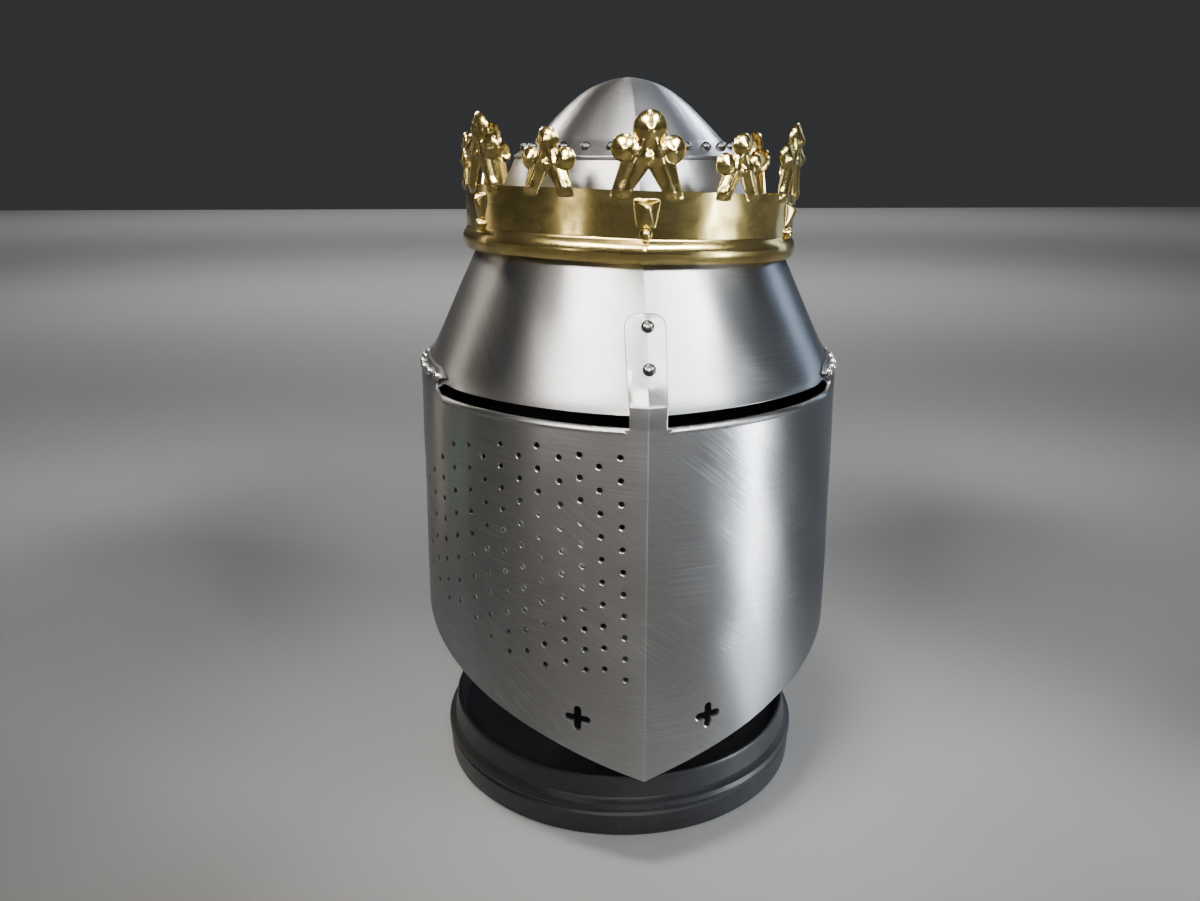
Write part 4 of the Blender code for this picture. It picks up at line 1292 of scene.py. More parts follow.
@dataclass
class Rivets:
    """All rivet heads: round the dome, on the nasal tab and along the laps.

    Args:
        form: The helm's form.
        dome_head: Radius and rise of the dome's heads.
        nasal_head: Radius and rise of the two on the nasal tab.
        joint_head: Radius and rise of those along the laps.
        dome_count: Number of heads round the dome.
        dome_width: Half width of their ring.
        nasal_z: Heights of the two on the nasal tab.
        nasal_x: How far they sit beside the keel.
        joint_z: Height of the row along the laps.
        joint_start: Arc of its first head.
        joint_step: Arc between two heads.
        loose: Heads on each side that are CAD nodes.
        sides: Points round a head.
        rings: Rings up a head.
        fullness: Power of the cosine in a head's profile, less for a squarer one.
        sharp: Edges that turn by more than this many degrees stay crisp.
    """

    form: HelmForm
    dome_head: tuple[float, float] = (0.0028, 0.0027)
    nasal_head: tuple[float, float] = (0.0033, 0.0022)
    joint_head: tuple[float, float] = (0.0025, 0.0023)
    dome_count: int = 28
    dome_width: float = 0.0590
    nasal_z: tuple[float, float] = (0.2786, 0.2975)
    nasal_x: float = 0.0009
    joint_z: float = 0.2612
    joint_start: float = 0.1392
    joint_step: float = 0.01463
    loose: int = 5
    sides: int = 24
    rings: int = 9
    fullness: float = 0.8
    sharp: float = 40.0

    def heads(self, places: Array, normals: Array, head: tuple[float, float]) -> Shell:
        """Domed heads: at the angle t up a head the radius goes with a power of the cosine of t and
        the rise with the sine, and a short skirt reaches down to the plate.

        Args:
            places: Points on the plate.
            normals: Outward normals there.
            head: Radius and rise.

        Returns:
            One shell of all the heads.
        """
        radius, rise = head
        t = np.linspace(0.0, math.pi / 2, self.rings)[:-1]
        r = np.concatenate(([radius * 0.99], radius * np.cos(t) ** self.fullness))
        h = np.concatenate(([0.0], GAP + rise * np.sin(t)))
        normals = normals / np.linalg.norm(normals, axis=1)[:, None]
        side = np.cross(normals, (0.0, 0.0, 1.0))
        side /= np.maximum(np.linalg.norm(side, axis=1), 1e-6)[:, None]
        up = np.cross(side, normals)
        turn = np.arange(self.sides) * 2 * math.pi / self.sides
        spin = np.cos(turn)[:, None, None] * up + np.sin(turn)[:, None, None] * side
        grid = places + r[:, None, None, None] * spin + h[:, None, None, None] * normals
        points = np.concatenate((np.moveaxis(grid, 2, 0).reshape(-1, 3), places + normals * (GAP + rise)))
        count, block = len(places), len(r) * self.sides
        first = (np.arange(count) * block)[:, None]
        top = np.broadcast_to(count * block + np.arange(count)[:, None], (count, self.sides))
        quads = grid_faces(len(r), self.sides, close_columns=True)[:, ::-1]
        c = np.arange(self.sides)
        last = first + block - self.sides
        return Shell(points, [(quads + first[:, None]).reshape(-1, 4), c + first,
                              np.stack([last + (c + 1) % self.sides, last + c, top], -1).reshape(-1, 3)],
                     points[:, ::2])

    def normals(self, arc: Array, height: Array) -> Array:
        """Outward normals of the lower plates: the cross of a short step round and one up.

        Args:
            arc: Arc from the keel.
            height: Height.

        Returns:
            The normals, not of unit length.
        """
        step, lay = SHORT_STEP, self.form.lay
        return np.cross(lay(arc + step, height) - lay(arc - step, height),
                        lay(arc, height + step) - lay(arc, height - step))

    def on_dome(self) -> Shell:
        """The ring of heads on the dome's flange, in even steps of arc.

        Returns:
            Their shell.
        """
        form, width, step = self.form, self.dome_width, SHORT_STEP
        arc = -form.half_girth + (np.arange(self.dome_count) + 1) * 2 * form.half_girth / self.dome_count
        edge_width, edge_z = form.flange_edge
        foot = edge_z + (edge_width - width) * form.flange_slope
        places = form.around(arc, width, foot)
        round_step = form.around(arc + step, width, foot) - form.around(arc - step, width, foot)
        in_step = form.around(arc, width - step, foot + step * form.flange_slope) - places
        return self.heads(places, np.cross(round_step, in_step), self.dome_head)

    def on_tab(self) -> Shell:
        """The two heads on the nasal tab, square to the skull's slope.

        Returns:
            Their shell.
        """
        level = np.tile((0.0, -1.0, self.form.skull_slope), (2, 1))
        places = self.form.lay(np.zeros(2), np.array(self.nasal_z)) + (self.nasal_x, 0.0, 0.0)
        return self.heads(places, level, self.nasal_head)

    def on_laps(self) -> Shell:
        """The row along the laps and round the back, with one head in the middle of the back.

        Returns:
            Its shell.
        """
        form = self.form
        count = int((form.half_girth - self.joint_start) / self.joint_step) + 1
        right = self.joint_start + self.joint_step * np.arange(count)
        meets = abs(right[-1] - form.half_girth) < 0.002
        arc = form.wrapped(np.concatenate((right, -right[:count - meets])))
        height = np.full_like(arc, self.joint_z)
        return self.heads(form.lay(arc, height), self.normals(arc, height), self.joint_head)

    def build(self, pale: Material, grey: Material, dark: Material) -> list[Piece]:
        """Seats all the heads.

        Args:
            pale: Finish of the row along the laps, a lighter copy of the rivet steel, painted highlight.
            grey: Finish of the two on the nasal tab, a darker copy of the rivet steel, painted shade.
            dark: Finish of the ring on the dome.

        Returns:
            The three groups of heads.
        """
        dome = [f"dome_rivet_{number + 1:02d}" for number in range(self.dome_count)]
        tab = ["nasal_rivet_1", "nasal_rivet_2"]
        laps = [f"joint_rivet_{side}{number + 1}" for side in "lr" for number in range(self.loose)]
        return [self.on_dome().build("dome_rivet_heads", dark, Slot.DARK_STEEL, dome, self.sharp),
                self.on_tab().build("nasal_rivet_heads", grey, Slot.STEEL, tab, self.sharp),
                self.on_laps().build("joint_rivet_heads", pale, Slot.STEEL, laps, self.sharp)]


@dataclass(frozen=True)
class Swell:
    """A low dome worked into the sheet.

    Args:
        rise: Its rise over its radius.
        power: Power in its profile, lower for a fuller one.
    """

    rise: float
    power: float

    def height(self, away: Array, radius: float = 1.0) -> Array:
        """Rise at a share of the radius from the middle: one less the share's square, to the power."""
        return radius * self.rise * np.clip(1 - away ** 2, 0.0, 1.0) ** self.power


@dataclass(frozen=True)
class Fleuron:
    """Sizes of one kind of fleuron.

    Args:
        top: Height and radius of the top lobe.
        side: Height and radius of the side lobes.
        side_out: Distance of the side lobes from the middle.
        feet: Distances of the legs' inner and outer feet.
        apex: Height of the opening's apex.
        knop: Height and radius of the small knop over the opening.
        web: Half width of the rods from the legs to the top lobe.
        leg: Half width over which a leg's ridge falls.
    """

    top: tuple[float, float]
    side: tuple[float, float]
    side_out: float
    feet: tuple[float, float]
    apex: float
    knop: tuple[float, float]
    web: float
    leg: float


@dataclass
class Crown:
    """The brass crown: six repeats of a tall and a short fleuron on a band with a bead.

    Args:
        form: The helm's form.
        base_z: Height of the bead's foot.
        height: From the bead's foot to the band's upper edge.
        width: Half width outside.
        lean: The sheet leans out by this for each metre up.
        keel_round: Radius at the keel.
        tilt: Pitch and roll, front up and wearer's left down.
        bead: Height and stand-out of the bead.
        repeats: Number of pairs of fleurons.
        bead_power: Power of the half sine in the bead's profile.
        leg_ridge: Rise of the ridge along a leg.
        leg_sharp: Share and power of the sharp part of that ridge.
        leg_full: Share and power of its full part.
        leg_top: Where a leg ends, as shares of the side lobes' distance and height.
        foot_spread: How much further out a leg's foot lies on the band.
        foot_drop: How far a leg's foot runs down onto the band.
        foot_power: Power with which the ridge fades there.
        lobe: Swell of the lobes.
        lobe_rise: How far a lobe's swell sits above its middle, over its radius.
        boss: The boss on a lobe: drop below its middle, width and rise, each over the lobe's
            radius, and how quickly it falls off.
        rod: Swell of the rods.
        knop: Swell of the knops.
        crease: Size of the filling in the creases between swells.
        jewel: Drop of the faceted stud's middle below the band's edge, half height and rise.
        jewel_foot: Width of its foot over that of its top.
        jewel_peak: Where its peak lies: beside the middle, and above it over the half height.
        jewel_lift: Rise of its rim, over its own rise.
        jewel_power: Power in its sides' profile.
        ball: Drop, radius and rise of the ball below it.
        facet: Sharpness of the stud's ridges.
        step: Step for slopes.
        close_drop: How far below the band's edge the close filling starts.
        tall: The tall fleuron.
        short: The short one.
    """

    form: HelmForm
    base_z: float = 0.3224
    height: float = 0.0347
    width: float = 0.0932
    lean: float = 0.02
    keel_round: float = 0.003
    tilt: tuple[float, float] = (math.radians(-1.7), math.radians(1.9))
    bead: tuple[float, float] = (0.0112, 0.0022)
    repeats: int = 6
    bead_power: float = 0.75
    leg_ridge: float = 0.0022
    leg_sharp: tuple[float, float] = (0.35, 1.2)
    leg_full: tuple[float, float] = (0.65, 1.3)
    leg_top: tuple[float, float] = (0.45, 0.80)
    foot_spread: float = 0.0009
    foot_drop: float = 0.0042
    foot_power: float = 1.5
    lobe: Swell = Swell(0.40, 0.62)
    lobe_rise: float = 0.06
    boss: tuple[float, float, float, float] = (0.14, 0.40, 0.17, 1.3)
    rod: Swell = Swell(0.62, 1.1)
    knop: Swell = Swell(0.62, 1.5)
    crease: float = 0.0008
    jewel: tuple[float, float, float] = (0.0106, 0.0064, 0.0042)
    jewel_foot: float = 0.68
    jewel_peak: tuple[float, float] = (0.0006, 0.42)
    jewel_lift: float = 0.03
    jewel_power: float = 0.85
    ball: tuple[float, float, float] = (0.0204, 0.0033, 0.0032)
    facet: float = 14.0
    step: float = 0.0003
    close_drop: float = 0.0062
    tall: Fleuron = Fleuron((0.0282, 0.0084), (0.0191, 0.0067), 0.0119, (0.0071, 0.0176), 0.0100,
                            (0.0152, 0.0040), 0.0040, 0.0053)
    short: Fleuron = Fleuron((0.0224, 0.0062), (0.0136, 0.0056), 0.0102, (0.0054, 0.0140), 0.0070,
                             (0.0107, 0.0033), 0.0031, 0.0044)

    @property
    def pitch(self) -> float:
        """Flat width of one repeat."""
        return 2 * self.form.half_girth / self.repeats * self.width / self.form.half_width

    @property
    def axis(self) -> float:
        """Place of the tall fleuron along a repeat."""
        return self.pitch / 4

    def place(self, x: Array, z: Array, out: Array) -> Array:
        """Lays flat points on the crown: round the plan at the band's half width, which grows with
        height, and then turned by the crown's tilt about the middle of its foot.

        Args:
            x: Distance along the flat sheet.
            z: Height above the bead's foot.
            out: Distance outside the band's line.

        Returns:
            The points.
        """
        arc = (np.asarray(x) - self.axis) * self.form.half_width / self.width
        points = self.form.around(arc, self.width + self.lean * z + out, self.base_z + z, self.keel_round)
        middle = np.array([*self.form.shift, self.base_z])
        turn = np.array(Matrix.Rotation(self.tilt[1], 3, "Y") @ Matrix.Rotation(self.tilt[0], 3, "X"))
        return (points - middle) @ turn.T + middle

    def fleurons(self) -> list[tuple[Fleuron, float]]:
        """The two fleurons of a repeat, with their places along it."""
        return [(self.tall, self.axis), (self.short, self.pitch * 0.75)]

    def lobes(self, kind: Fleuron, middle: float) -> list[tuple[float, float, float]]:
        """Place and radius of the three lobes, the top one first."""
        (top, radius), (side_z, side_radius) = kind.top, kind.side
        return [(middle, self.height + top, radius),
                *((middle + side.value * kind.side_out, self.height + side_z, side_radius) for side in Side)]

    def leg_lines(self, kind: Fleuron, middle: float) -> list[Array]:
        """The middle lines of the two legs, from their feet on the band to the lobes.

        Args:
            kind: The fleuron's sizes.
            middle: Its place along the repeat.

        Returns:
            Three points for each leg.
        """
        foot = (kind.feet[0] + kind.feet[1]) / 2
        reach, top = kind.side_out * self.leg_top[0], self.height + kind.side[0] * self.leg_top[1]
        return [np.array([(middle + side.value * (foot + self.foot_spread), self.height - self.foot_drop),
                          (middle + side.value * foot, self.height),
                          (middle + side.value * reach, top)]) for side in Side]

    def webs(self, kind: Fleuron, middle: float) -> list[tuple[Array, Array]]:
        """The middle lines of the rods, from the top lobe to the legs' tops."""
        top = np.array(self.lobes(kind, middle)[0][:2])
        return [(top, line[-1]) for line in self.leg_lines(kind, middle)]

    @staticmethod
    def off_line(flat: Array, start: Array, end: Array) -> Array:
        """Distance of each point from a straight line between two ends: the line's nearest point
        lies at the dot product of the run and the way from the start, over the run's square.

        Args:
            flat: The points.
            start: One end.
            end: The other end.

        Returns:
            The distances.
        """
        run = end - start
        share = np.clip(((flat - start) @ run) / (run @ run), 0.0, 1.0)
        return np.linalg.norm(flat - start - share[:, None] * run, axis=1)

    def jewel_corners(self) -> Array:
        """Corners of the faceted stud, wider on top.

        Returns:
            The four corners and the peak.
        """
        (drop, half, _), (beside, above) = self.jewel, self.jewel_peak
        middle, level, foot = self.axis, self.height - drop, half * self.jewel_foot
        return np.array([(middle - half, level + half), (middle - foot, level - half),
                         (middle + foot, level - half), (middle + half, level + half),
                         (middle + beside, level + half * above)])

    def joined(self, a: Array, b: Array) -> Array:
        """The higher of two swells: half their sum and half the root of their squared gap and a fill."""
        soft = self.crease * np.clip(np.minimum(a, b) / self.crease, 0.0, 1.0)
        return (a + b + np.sqrt((a - b) ** 2 + soft ** 2)) / 2

    def worked(self, flat: Array, kind: Fleuron, middle: float) -> Array:
        """How far one fleuron's lobes, rods, knop and legs stand out of the sheet.

        Args:
            flat: Places on the flat sheet.
            kind: The fleuron's sizes.
            middle: Its place along the repeat.

        Returns:
            The distances.
        """
        x, z = flat.T
        drop, width, rise, fall = self.boss
        swell = np.zeros(len(flat))
        for cx, cz, radius in self.lobes(kind, middle):
            away = np.hypot(x - cx, z - cz - radius * self.lobe_rise) / radius
            boss = np.hypot(x - cx, z - cz + radius * drop) / (radius * width)
            dome = radius * (self.lobe.height(away) + rise * np.exp(-boss ** 2 * fall))
            swell = self.joined(swell, dome)
        for start, end in self.webs(kind, middle):
            off = self.off_line(flat, start, end) / kind.web
            swell = self.joined(swell, self.rod.height(off, kind.web))
        up, radius = kind.knop
        away = np.hypot(x - middle, z - self.height - up) / radius
        swell = self.joined(swell, self.knop.height(away, radius))
        below = np.clip(1 - (np.minimum(z - self.height, 0.0) / self.foot_drop) ** 2, 0.0, 1.0)
        below = below ** self.foot_power * self.leg_ridge
        (sharp, sharp_power), (full, full_power) = self.leg_sharp, self.leg_full
        for line in self.leg_lines(kind, middle):
            for start, end in zip(line[:-1], line[1:]):
                off = np.clip(self.off_line(flat, start, end) / kind.leg, 0.0, 1.0)
                ridge = sharp * (1 - off) ** sharp_power + full * (1 - off ** 2) ** full_power
                swell = self.joined(swell, below * ridge)
        return swell

    def relief(self, flat: Array) -> Array:
        """How far each point of the sheet stands out. The bead follows half a sine. A lobe, a rod
        and the knop are low domes, and a lobe has a bell-shaped boss. A leg falls from its ridge to
        its sides, and the stud from its peak, where the lowest of its sides' slopes counts, with
        the ridges rounded.

        Args:
            flat: Places on the flat sheet.

        Returns:
            The distances.
        """
        x, z = flat.T
        top, out = self.bead
        relief = out * np.sin(math.pi * np.clip(z / top, 0.0, 1.0)) ** self.bead_power
        for kind, middle in self.fleurons():
            relief = relief + self.worked(flat, kind, middle)
        *loop, peak = self.jewel_corners()
        sides = []
        for start, end in zip(loop, loop[1:] + loop[:1]):
            run = end - start
            across = run[0] * (z - start[1]) - run[1] * (x - start[0])
            sides.append(across / (run[0] * (peak[1] - start[1]) - run[1] * (peak[0] - start[0])))
        share = -np.log(np.sum(np.exp(-self.facet * np.array(sides)), axis=0)) / self.facet
        return relief + self.jewel[2] * np.clip(share + self.jewel_lift, 0.0, 1.0) ** self.jewel_power

    def slopes(self, flat: Array) -> list[Array]:
        """Rise of the relief along the sheet and up it, from a step behind to a step ahead."""
        return [(self.relief(flat + move) - self.relief(flat - move)) / (2 * self.step)
                for move in ((self.step, 0.0), (0.0, self.step))]

    def normals(self, x: Array, z: Array, out: Array, slope_x: Array, slope_z: Array) -> Array:
        """Directions square to the worked surface: the cross product of its two tangents, each the
        plain sheet's tangent plus the slope times the sheet's own normal.

        Args:
            x: Distance along the flat sheet.
            z: Height above the bead's foot.
            out: Distance outside the band's line.
            slope_x: Rise of the relief along the sheet.
            slope_z: Rise of the relief up it.

        Returns:
            Unit vectors.
        """
        step = self.step
        plain = (self.place(x, z, out + step) - self.place(x, z, out - step)) / (2 * step)
        along = (self.place(x + step, z, out) - self.place(x - step, z, out)) / (2 * step)
        up = (self.place(x, z + step, out) - self.place(x, z - step, out)) / (2 * step)
        square = np.cross(along + slope_x[:, None] * plain, up + slope_z[:, None] * plain)
        square *= np.sign(np.sum(square * plain, axis=1))[:, None]
        return square / np.linalg.norm(square, axis=1)[:, None]

    def parts(self, kind: Fleuron, middle: float) -> tuple[list[Array], list[Array]]:
        """One fleuron on the flat sheet: its lobes and legs, and the lines that its relief follows.

        Args:
            kind: The fleuron's sizes.
            middle: Its place along the repeat.

        Returns:
            The solid loops and the lines.
        """
        rim, lobes = self.height, self.lobes(kind, middle)
        solids, lines = [], []
        for x, z, radius in lobes:
            solids.append(ring((x, z), radius, 36))
            lines += [returned(ring((x, z), radius * share, 36)) for share in (0.98, 0.93, 0.85)]
        for side, (x, z, _) in zip(Side, lobes[1:]):
            inner, outer = (middle + side.value * foot for foot in kind.feet)
            leg = dense([(inner, rim), (outer, rim), (x, z), (middle, lobes[0][1]),
                         (middle, rim + kind.apex)], 0.001, closed=True)
            solids.append(leg if side is Side.LEFT else leg[::-1])
        lines += [dense(line, 0.0010) for line in self.leg_lines(kind, middle)]
        up, radius = kind.knop
        rings = [ring((middle, rim + up), radius * share, 24) for share in (0.97, 0.72, 0.45, 0.2)]
        lines += [returned(loop) for loop in rings if loop[:, 1].min() > rim + kind.apex + 0.0012]
        return solids, lines

    def sheet(self) -> FlatSheet:
        """The flat sheet of one repeat: the band, the fleurons on it and the stud's edges, filled
        closely from the legs' feet up and round the stud.

        Returns:
            The sheet, ready to be cut.
        """
        rim, bead, pitch = self.height, self.bead[0], self.pitch
        rows = np.concatenate((np.linspace(0.0, bead, 9), np.linspace(bead, rim, 13)[1:]))
        along = np.linspace(0.0, pitch, 57)
        sides = (along, 0.0), (pitch, rows[1:]), (along[-2::-1], rim), (0.0, rows[-2:0:-1])
        solids, lines = [np.concatenate([np.stack(np.broadcast_arrays(*side), -1) for side in sides])], []
        for kind, middle in self.fleurons():
            loops, marks = self.parts(kind, middle)
            solids += loops
            lines += marks
        *corners, peak = self.jewel_corners()
        lines.append(dense(corners, 0.001, closed=True))
        lines += [dense([corner, peak], 0.001) for corner in corners]
        lines += [np.stack(np.broadcast_arrays(along, height), -1)
                  for height in rows[1:-1] if height < bead * 1.01]
        sheet = FlatSheet(solids, [], lines)
        sheet.fill((0.0008, 0.0008), 0.00042, low=(0.0, rim - self.close_drop))
        drop, half, _ = self.jewel
        reach = half * 1.25
        sheet.fill((0.0007, 0.0007), 0.00038, low=(self.axis - reach, rim - drop - reach),
                   high=(self.axis + reach, rim))
        sheet.fill((0.0018, 0.0018), 0.0009)
        return sheet

    def balls(self) -> Shell:
        """The balls under the faceted studs: at the angle t the radius goes with the cosine and the
        stand-out with the sine.

        Returns:
            One shell of all the balls.
        """
        drop, radius, rise = self.ball
        t = np.linspace(0.0, math.pi / 2, 9)[:, None]
        turn = np.linspace(0.0, 2 * math.pi, 25)[:-1]
        shift = (np.arange(self.repeats) * self.pitch)[:, None, None]
        across, up, out = np.broadcast_arrays(shift + self.axis + radius * np.cos(t) * np.cos(turn),
                                              self.height - drop + radius * np.cos(t) * np.sin(turn),
                                              rise * np.sin(t))
        first = (np.arange(self.repeats) * len(t) * len(turn))[:, None, None]
        quads = (grid_faces(len(t), len(turn), close_columns=True) + first).reshape(-1, 4)
        return Shell(self.place(across, up, out).reshape(-1, 3), [quads],
                     np.stack([across, up], -1).reshape(-1, 2))

    def build(self, brass: Material) -> Piece:
        """Cuts one repeat, sets six in a ring, joins them where they meet and adds the balls.

        Args:
            brass: Finish of the whole crown.

        Returns:
            The crown.
        """
        flat, triangles = self.sheet().cut()
        shift, girth = np.arange(self.repeats) * self.pitch, self.pitch * self.repeats
        x = ((flat[:, 0] + shift[:, None]) % girth).ravel()
        x = np.where(girth - x < 1e-7, 0.0, x)
        z, *others = (np.tile(part, self.repeats)
                      for part in (flat[:, 1], self.relief(flat), *self.slopes(flat)))
        _, first, number = np.unique(np.round(np.stack([x, z], -1), 6), axis=0, return_index=True,
                                     return_inverse=True)
        faces = number.reshape(self.repeats, -1)[:, triangles].reshape(-1, 3)
        x, z, out, *slopes = (part[first] for part in (x, z, *others))
        shell = two_skins(self.place(x, z, out), self.place(x, z, out - BRASS), faces, np.stack([x, z], -1))
        shell.normals = self.normals(x, z, out, *slopes)
        return shell.add(self.balls()).build("crown_brass", brass, Slot.BRASS, ["crown"])


@dataclass
class Stand:
    """The turned base with its mouldings and recess, and the plain post.

    Args:
        profile: Radius and height of the base, from the foot to the recess.
        sides: Points round the base.
        step: Distance between two points of the profile.
        unrolled: Radius at which the base is unrolled for its flat map.
    """

    profile: tuple = ((0.1118, 0.0000), (0.1130, 0.0014), (0.1132, 0.0060), (0.1132, 0.0140),
                      (0.1116, 0.0156), (0.1129, 0.0163), (0.1142, 0.0190), (0.1133, 0.0216),
                      (0.1110, 0.0232), (0.1100, 0.0242), (0.1092, 0.0290), (0.1084, 0.0352),
                      (0.1080, 0.0362), (0.1074, 0.0366), (0.1062, 0.0364), (0.1054, 0.0358),
                      (0.1034, 0.0260), (0.1028, 0.0246), (0.1010, 0.0240))
    sides: int = 192
    step: float = 0.0012
    unrolled: float = 0.11

    def build(self, paint: Material, post: Material) -> Piece:
        """Turns the base: every point of the profile goes round the axis in even steps, and a fan
        of triangles closes the foot and the recess.

        Args:
            paint: Finish of the base.
            post: Finish of the post, which keeps its plain solid.

        Returns:
            The base.
        """
        line = dense(self.profile, self.step)
        turn = np.arange(self.sides) * 2 * math.pi / self.sides
        radius, height = line[:, :1], line[:, 1:]
        grid = np.stack(np.broadcast_arrays(radius * np.cos(turn), radius * np.sin(turn), height), -1)
        up = np.arange(len(line))[:, None] * self.step
        flat = np.stack(np.broadcast_arrays(turn * self.unrolled, up), -1)
        points = np.concatenate((grid.reshape(-1, 3), [(0.0, 0.0, 0.0), (0.0, 0.0, line[-1, 1])]))
        c = np.arange(self.sides)
        on = (c + 1) % self.sides
        low, high, last = len(points) - 2, len(points) - 1, (len(line) - 1) * self.sides
        faces = [grid_faces(len(line), self.sides, close_columns=True),
                 np.stack([on, c, np.full_like(c, low)], -1),
                 np.stack([last + c, last + on, np.full_like(c, high)], -1)]
        shell = Shell(points, faces, np.concatenate((flat.reshape(-1, 2), [(0.0, 0.0)] * 2)))
        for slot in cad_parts["stand_post"].material_slots:
            slot.material = post
        return shell.build("base_turning", paint, Slot.BASE, ["stand_base"], sharp=30.0)


# Light and camera


@dataclass(frozen=True)
class SoftBox:
    """A plain soft studio light.

    Args:
        name: Name of the light.
        place: Where it stands.
        aim: The point that it faces.
        size: Width and height.
        power: Watts.
        colour: Colour of the light.
        spread: Degrees over which the light's grid lets it fan out.
    """

    name: str
    place: tuple[float, float, float]
    aim: tuple[float, float, float]
    size: tuple[float, float]
    power: float
    colour: Colour = (1.0, 1.0, 1.0)
    spread: float = 180.0

    def build(self) -> None:
        """Hangs the light."""
        light = bpy.data.lights.new(self.name, "AREA")
        light.shape, light.size, light.size_y = "RECTANGLE", *self.size
        light.energy, light.color, light.spread = self.power, self.colour, math.radians(self.spread)
        lamp = bpy.data.objects.new(self.name, light)
        lamp.location, lamp.visible_camera = self.place, False
        lamp.rotation_euler = (Vector(self.aim) - Vector(self.place)).to_track_quat("-Z", "Y").to_euler()
        bpy.context.scene.collection.objects.link(lamp)


@dataclass
class Studio:
    """Pale floor, soft lights and the photograph's camera.

    Args:
        eye: The camera's place.
        ahead: Where it looks.
        right: Its right-hand side.
        lens: Focal length.
        film: Width of the film that it is for, in millimetres.
        floor_reach: Half width of the floor.
        paper: The two greys of its mottle.
        room: Colour of the room's light.
        room_light: Strength of the room's light.
        panel_aim: The point that the bank's panels face.
        panel_size: Their width and height.
        panel_spread: Degrees over which they fan out.
        warm: Their colour on the left.
        cool: Their colour on the right.
    """

    eye: tuple[float, float, float] = (-0.0423, -0.5824, 0.3796)
    ahead: tuple[float, float, float] = (0.0478, 0.9538, -0.2965)
    right: tuple[float, float, float] = (0.9987, -0.0500, 0.0)
    lens: float = 29.2
    film: float = 36.0
    floor_reach: float = 6.0
    paper: tuple[Colour, Colour] = ((0.36, 0.36, 0.36), (0.40, 0.40, 0.395))
    room: Colour = (0.30, 0.31, 0.33)
    room_light: float = 0.12
    panel_aim: tuple[float, float, float] = (0.0, -0.02, 0.43)
    panel_size: tuple[float, float] = (0.25, 0.34)
    panel_spread: float = 20.0
    warm: Colour = (1.0, 0.95, 0.89)
    cool: Colour = (0.92, 0.96, 1.0)

    # Azimuth of each panel of the curved bank, its distance and height, and watts
    PANELS = ((-34.0, 1.16, 1.18, 0.36), (-45.0, 1.16, 1.18, 0.36), (-56.0, 1.16, 1.18, 0.30),
              (37.0, 1.16, 1.14, 0.36), (49.0, 1.16, 1.14, 0.36), (61.0, 1.16, 1.14, 0.36))

    LIGHTS = (
        SoftBox("bank_middle", (0, -1.25, 1.08), (0, 0, 0.38), (0.60, 0.60), 1.7, (1, 1, 1), 30),
        SoftBox("overhead", (-0.18, -0.33, 1.55), (0, -0.10, 0.27), (0.34, 0.20), 0.35, (1, 0.98, 0.96), 24),
        SoftBox("floor_left", (-0.42, -0.95, 1.90), (-0.35, -0.60, 0), (0.4, 0.3), 1.3, (1, 0.88, 0.70), 54),
        SoftBox("floor_right", (0.45, -0.95, 1.90), (0.40, -0.60, 0), (0.4, 0.3), 1.25, (0.93, 0.96, 1), 54),
        SoftBox("window_right", (0.66, -0.3, 0.085), (0, 0, 0.085), (0.05, 0.165), 0.56, (0.82, 0.9, 1), 60),
        SoftBox("glint_left", (-0.52, 0.27, 0.08), (0, 0, 0.08), (0.03, 0.16), 0.006, (1, 0.80, 0.45), 60),
        SoftBox("glint_side", (-0.58, 0.06, 0.08), (0, 0, 0.08), (0.03, 0.16), 0.003, (0.55, 1, 0.65), 60),
        SoftBox("strip_left", (-1.05, 0.50, 0.40), (0, 0, 0.20), (0.10, 0.7), 0.05, (1, 0.90, 0.75), 50),
        SoftBox("strip_right", (1.20, 0.75, 0.50), (0, 0, 0.20), (0.25, 0.9), 0.14, (0.60, 0.76, 1), 50),
        SoftBox("window_upper", (0.66, -0.29, 0.235), (0, 0, 0.235), (0.09, 0.12), 0.07, (0.90, 0.95, 1), 60),
        SoftBox("side_left", (-1.60, 0.10, 2.10), (-1.60, 0, 0), (1.2, 1.6), 2.6, (1, 0.93, 0.84), 50),
        SoftBox("side_right", (1.60, 0.10, 2.10), (1.60, 0, 0), (1.2, 1.6), 2.6, (0.84, 0.91, 1), 50),
        SoftBox("floor_wash", (0, 2.20, 2.40), (0, 2.10, 0), (3.0, 0.8), 18.0, (1, 1, 1), 76),
        SoftBox("stud_left", (-0.52, -0.43, 0.3), (0, -0.135, 0.346), (0.04, 0.08), 0.009,
                (1, 0.94, 0.84), 40),
        SoftBox("stud_right", (0.57, -0.33, 0.3), (0, -0.135, 0.346), (0.04, 0.08), 0.022,
                (0.88, 0.94, 1), 40),
        SoftBox("far_back", (0, 4.40, 3.00), (0, 5.40, 0), (6.0, 1.5), 60.0, (1, 1, 1), 120),
        SoftBox("far_front", (0, -5.40, 3.00), (0, -6.40, 0), (6.0, 1.5), 50.0, (1, 1, 1), 120),
        SoftBox("far_left", (-4.40, 0, 3.00), (-5.40, 0, 0), (6.0, 1.5), 60.0, (1, 1, 1), 120),
        SoftBox("far_right", (4.40, 0, 3.00), (5.40, 0, 0), (6.0, 1.5), 60.0, (1, 1, 1), 120),
        SoftBox("back_left", (-0.85, 1.15, 1.15), (0, 0, 0.42), (0.5, 0.3), 0.5, (1, 0.90, 0.78), 24),
        SoftBox("back_right", (0.85, 1.15, 1.15), (0, 0, 0.42), (0.5, 0.3), 0.4, (0.78, 0.87, 1), 24),
    )

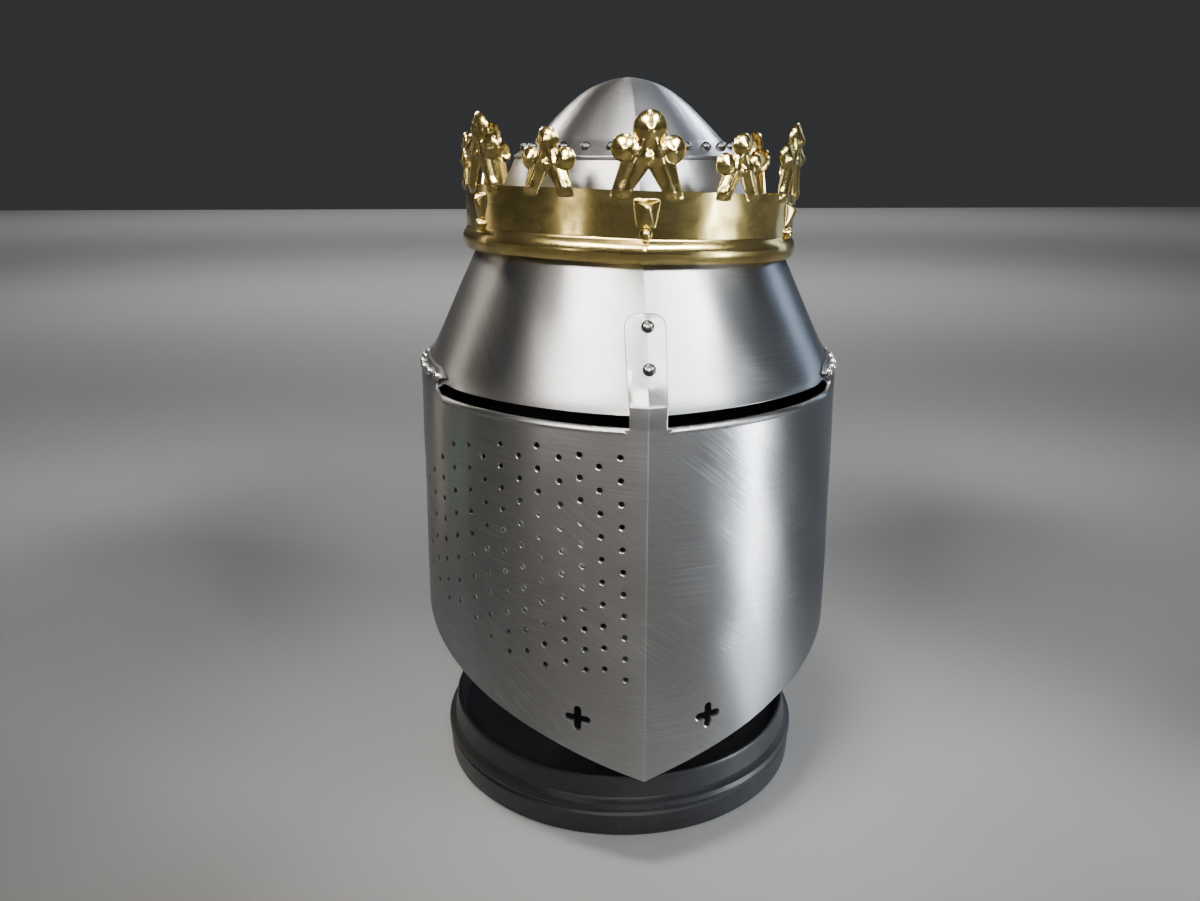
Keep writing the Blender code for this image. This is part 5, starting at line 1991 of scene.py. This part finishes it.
    def build_floor(self) -> None:
        """Lays a plain pale floor with a faint mottle."""
        reach = self.floor_reach
        mesh = bpy.data.meshes.new("floor")
        corners = [(-reach, -reach, 0.0), (reach, -reach, 0.0), (reach, reach, 0.0), (-reach, reach, 0.0)]
        mesh.from_pydata(corners, [], [(0, 1, 2, 3)])
        pen = Pen("floor_paper")
        cloud = pen.noise(pen.solid(), 3.0, 3.0)
        pen.set(Base_Color=pen.blend(cloud, *self.paper), Roughness=0.85)
        mesh.materials.append(pen.material)
        floor = bpy.data.objects.new("floor", mesh)
        bpy.context.scene.collection.objects.link(floor)

    def build_world(self) -> None:
        """Fills the room with an even dim light."""
        world = bpy.data.worlds.new("studio")
        world.use_nodes = True
        background = world.node_tree.nodes["Background"]
        background.inputs["Color"].default_value = (*self.room, 1.0)
        background.inputs["Strength"].default_value = self.room_light
        bpy.context.scene.world = world

    def build_camera(self) -> None:
        """Sets the camera where the photograph was taken from."""
        camera = bpy.data.cameras.new("camera")
        camera.sensor_width, camera.lens = self.film, self.lens
        eye = bpy.data.objects.new("camera", camera)
        ahead, right = Vector(self.ahead).normalized(), Vector(self.right).normalized()
        up = right.cross(ahead)
        turn = Matrix((right, up, -ahead)).transposed().to_4x4()
        eye.matrix_world = Matrix.Translation(self.eye) @ turn
        bpy.context.scene.collection.objects.link(eye)
        bpy.context.scene.camera = eye

    def build(self) -> None:
        """Sets up floor, room, lights and camera."""
        self.build_floor()
        self.build_world()
        for light in self.LIGHTS:
            light.build()
        for number, (azimuth, away, height, power) in enumerate(self.PANELS):
            turn = math.radians(azimuth)
            place = (away * math.sin(turn), -away * math.cos(turn), height)
            SoftBox(f"panel_{number + 1}", place, self.panel_aim, self.panel_size, power,
                    self.warm if azimuth < 0 else self.cool, self.panel_spread).build()
        self.build_camera()


def main() -> None:
    """Builds every sub-assembly in order."""
    logging.basicConfig(level=logging.INFO, format="%(name)s: %(message)s")
    form = HelmForm()
    steel = SandedSteel("sanded_steel").make()
    # the lining of every plate is painted near black, painted shade for the inside of the helm
    lining = ShadedInsideSteel("inside_painted_shade").make()
    # the lap rivets' steel is painted pale, a painted highlight on the same rivet steel
    pale = RivetSteel("lap_rivet_painted_highlight", (0.62, 0.61, 0.60), 0.20).make()
    # the nasal rivets' steel is painted dark, painted shade on the same rivet steel
    grey = RivetSteel("nasal_rivet_painted_shade", (0.15, 0.147, 0.143), 0.24).make()
    dark = RivetSteel("dark_rivet_metal", (0.085, 0.083, 0.080), 0.26).make()
    brass = PolishedBrass("crown_polish").make()
    paint = BasePaint("base_satin", (0.017, 0.0175, 0.020), (0.060, 0.058, 0.057), 0.42, 0.15).make()
    post = BasePaint("post_black", (0.018, 0.018, 0.019), (0.05, 0.05, 0.05), 0.62, 0.0).make()
    FacePlate(form).build(steel, lining)
    NapePlate(form).build(steel, lining)
    Skull(form).build(steel, lining)
    Dome(form).build(steel, lining)
    Rivets(form).build(pale, grey, dark)
    Crown(form).build(brass)
    Stand().build(paint, post)
    Studio().build()


if __name__ == "__main__":
    main()
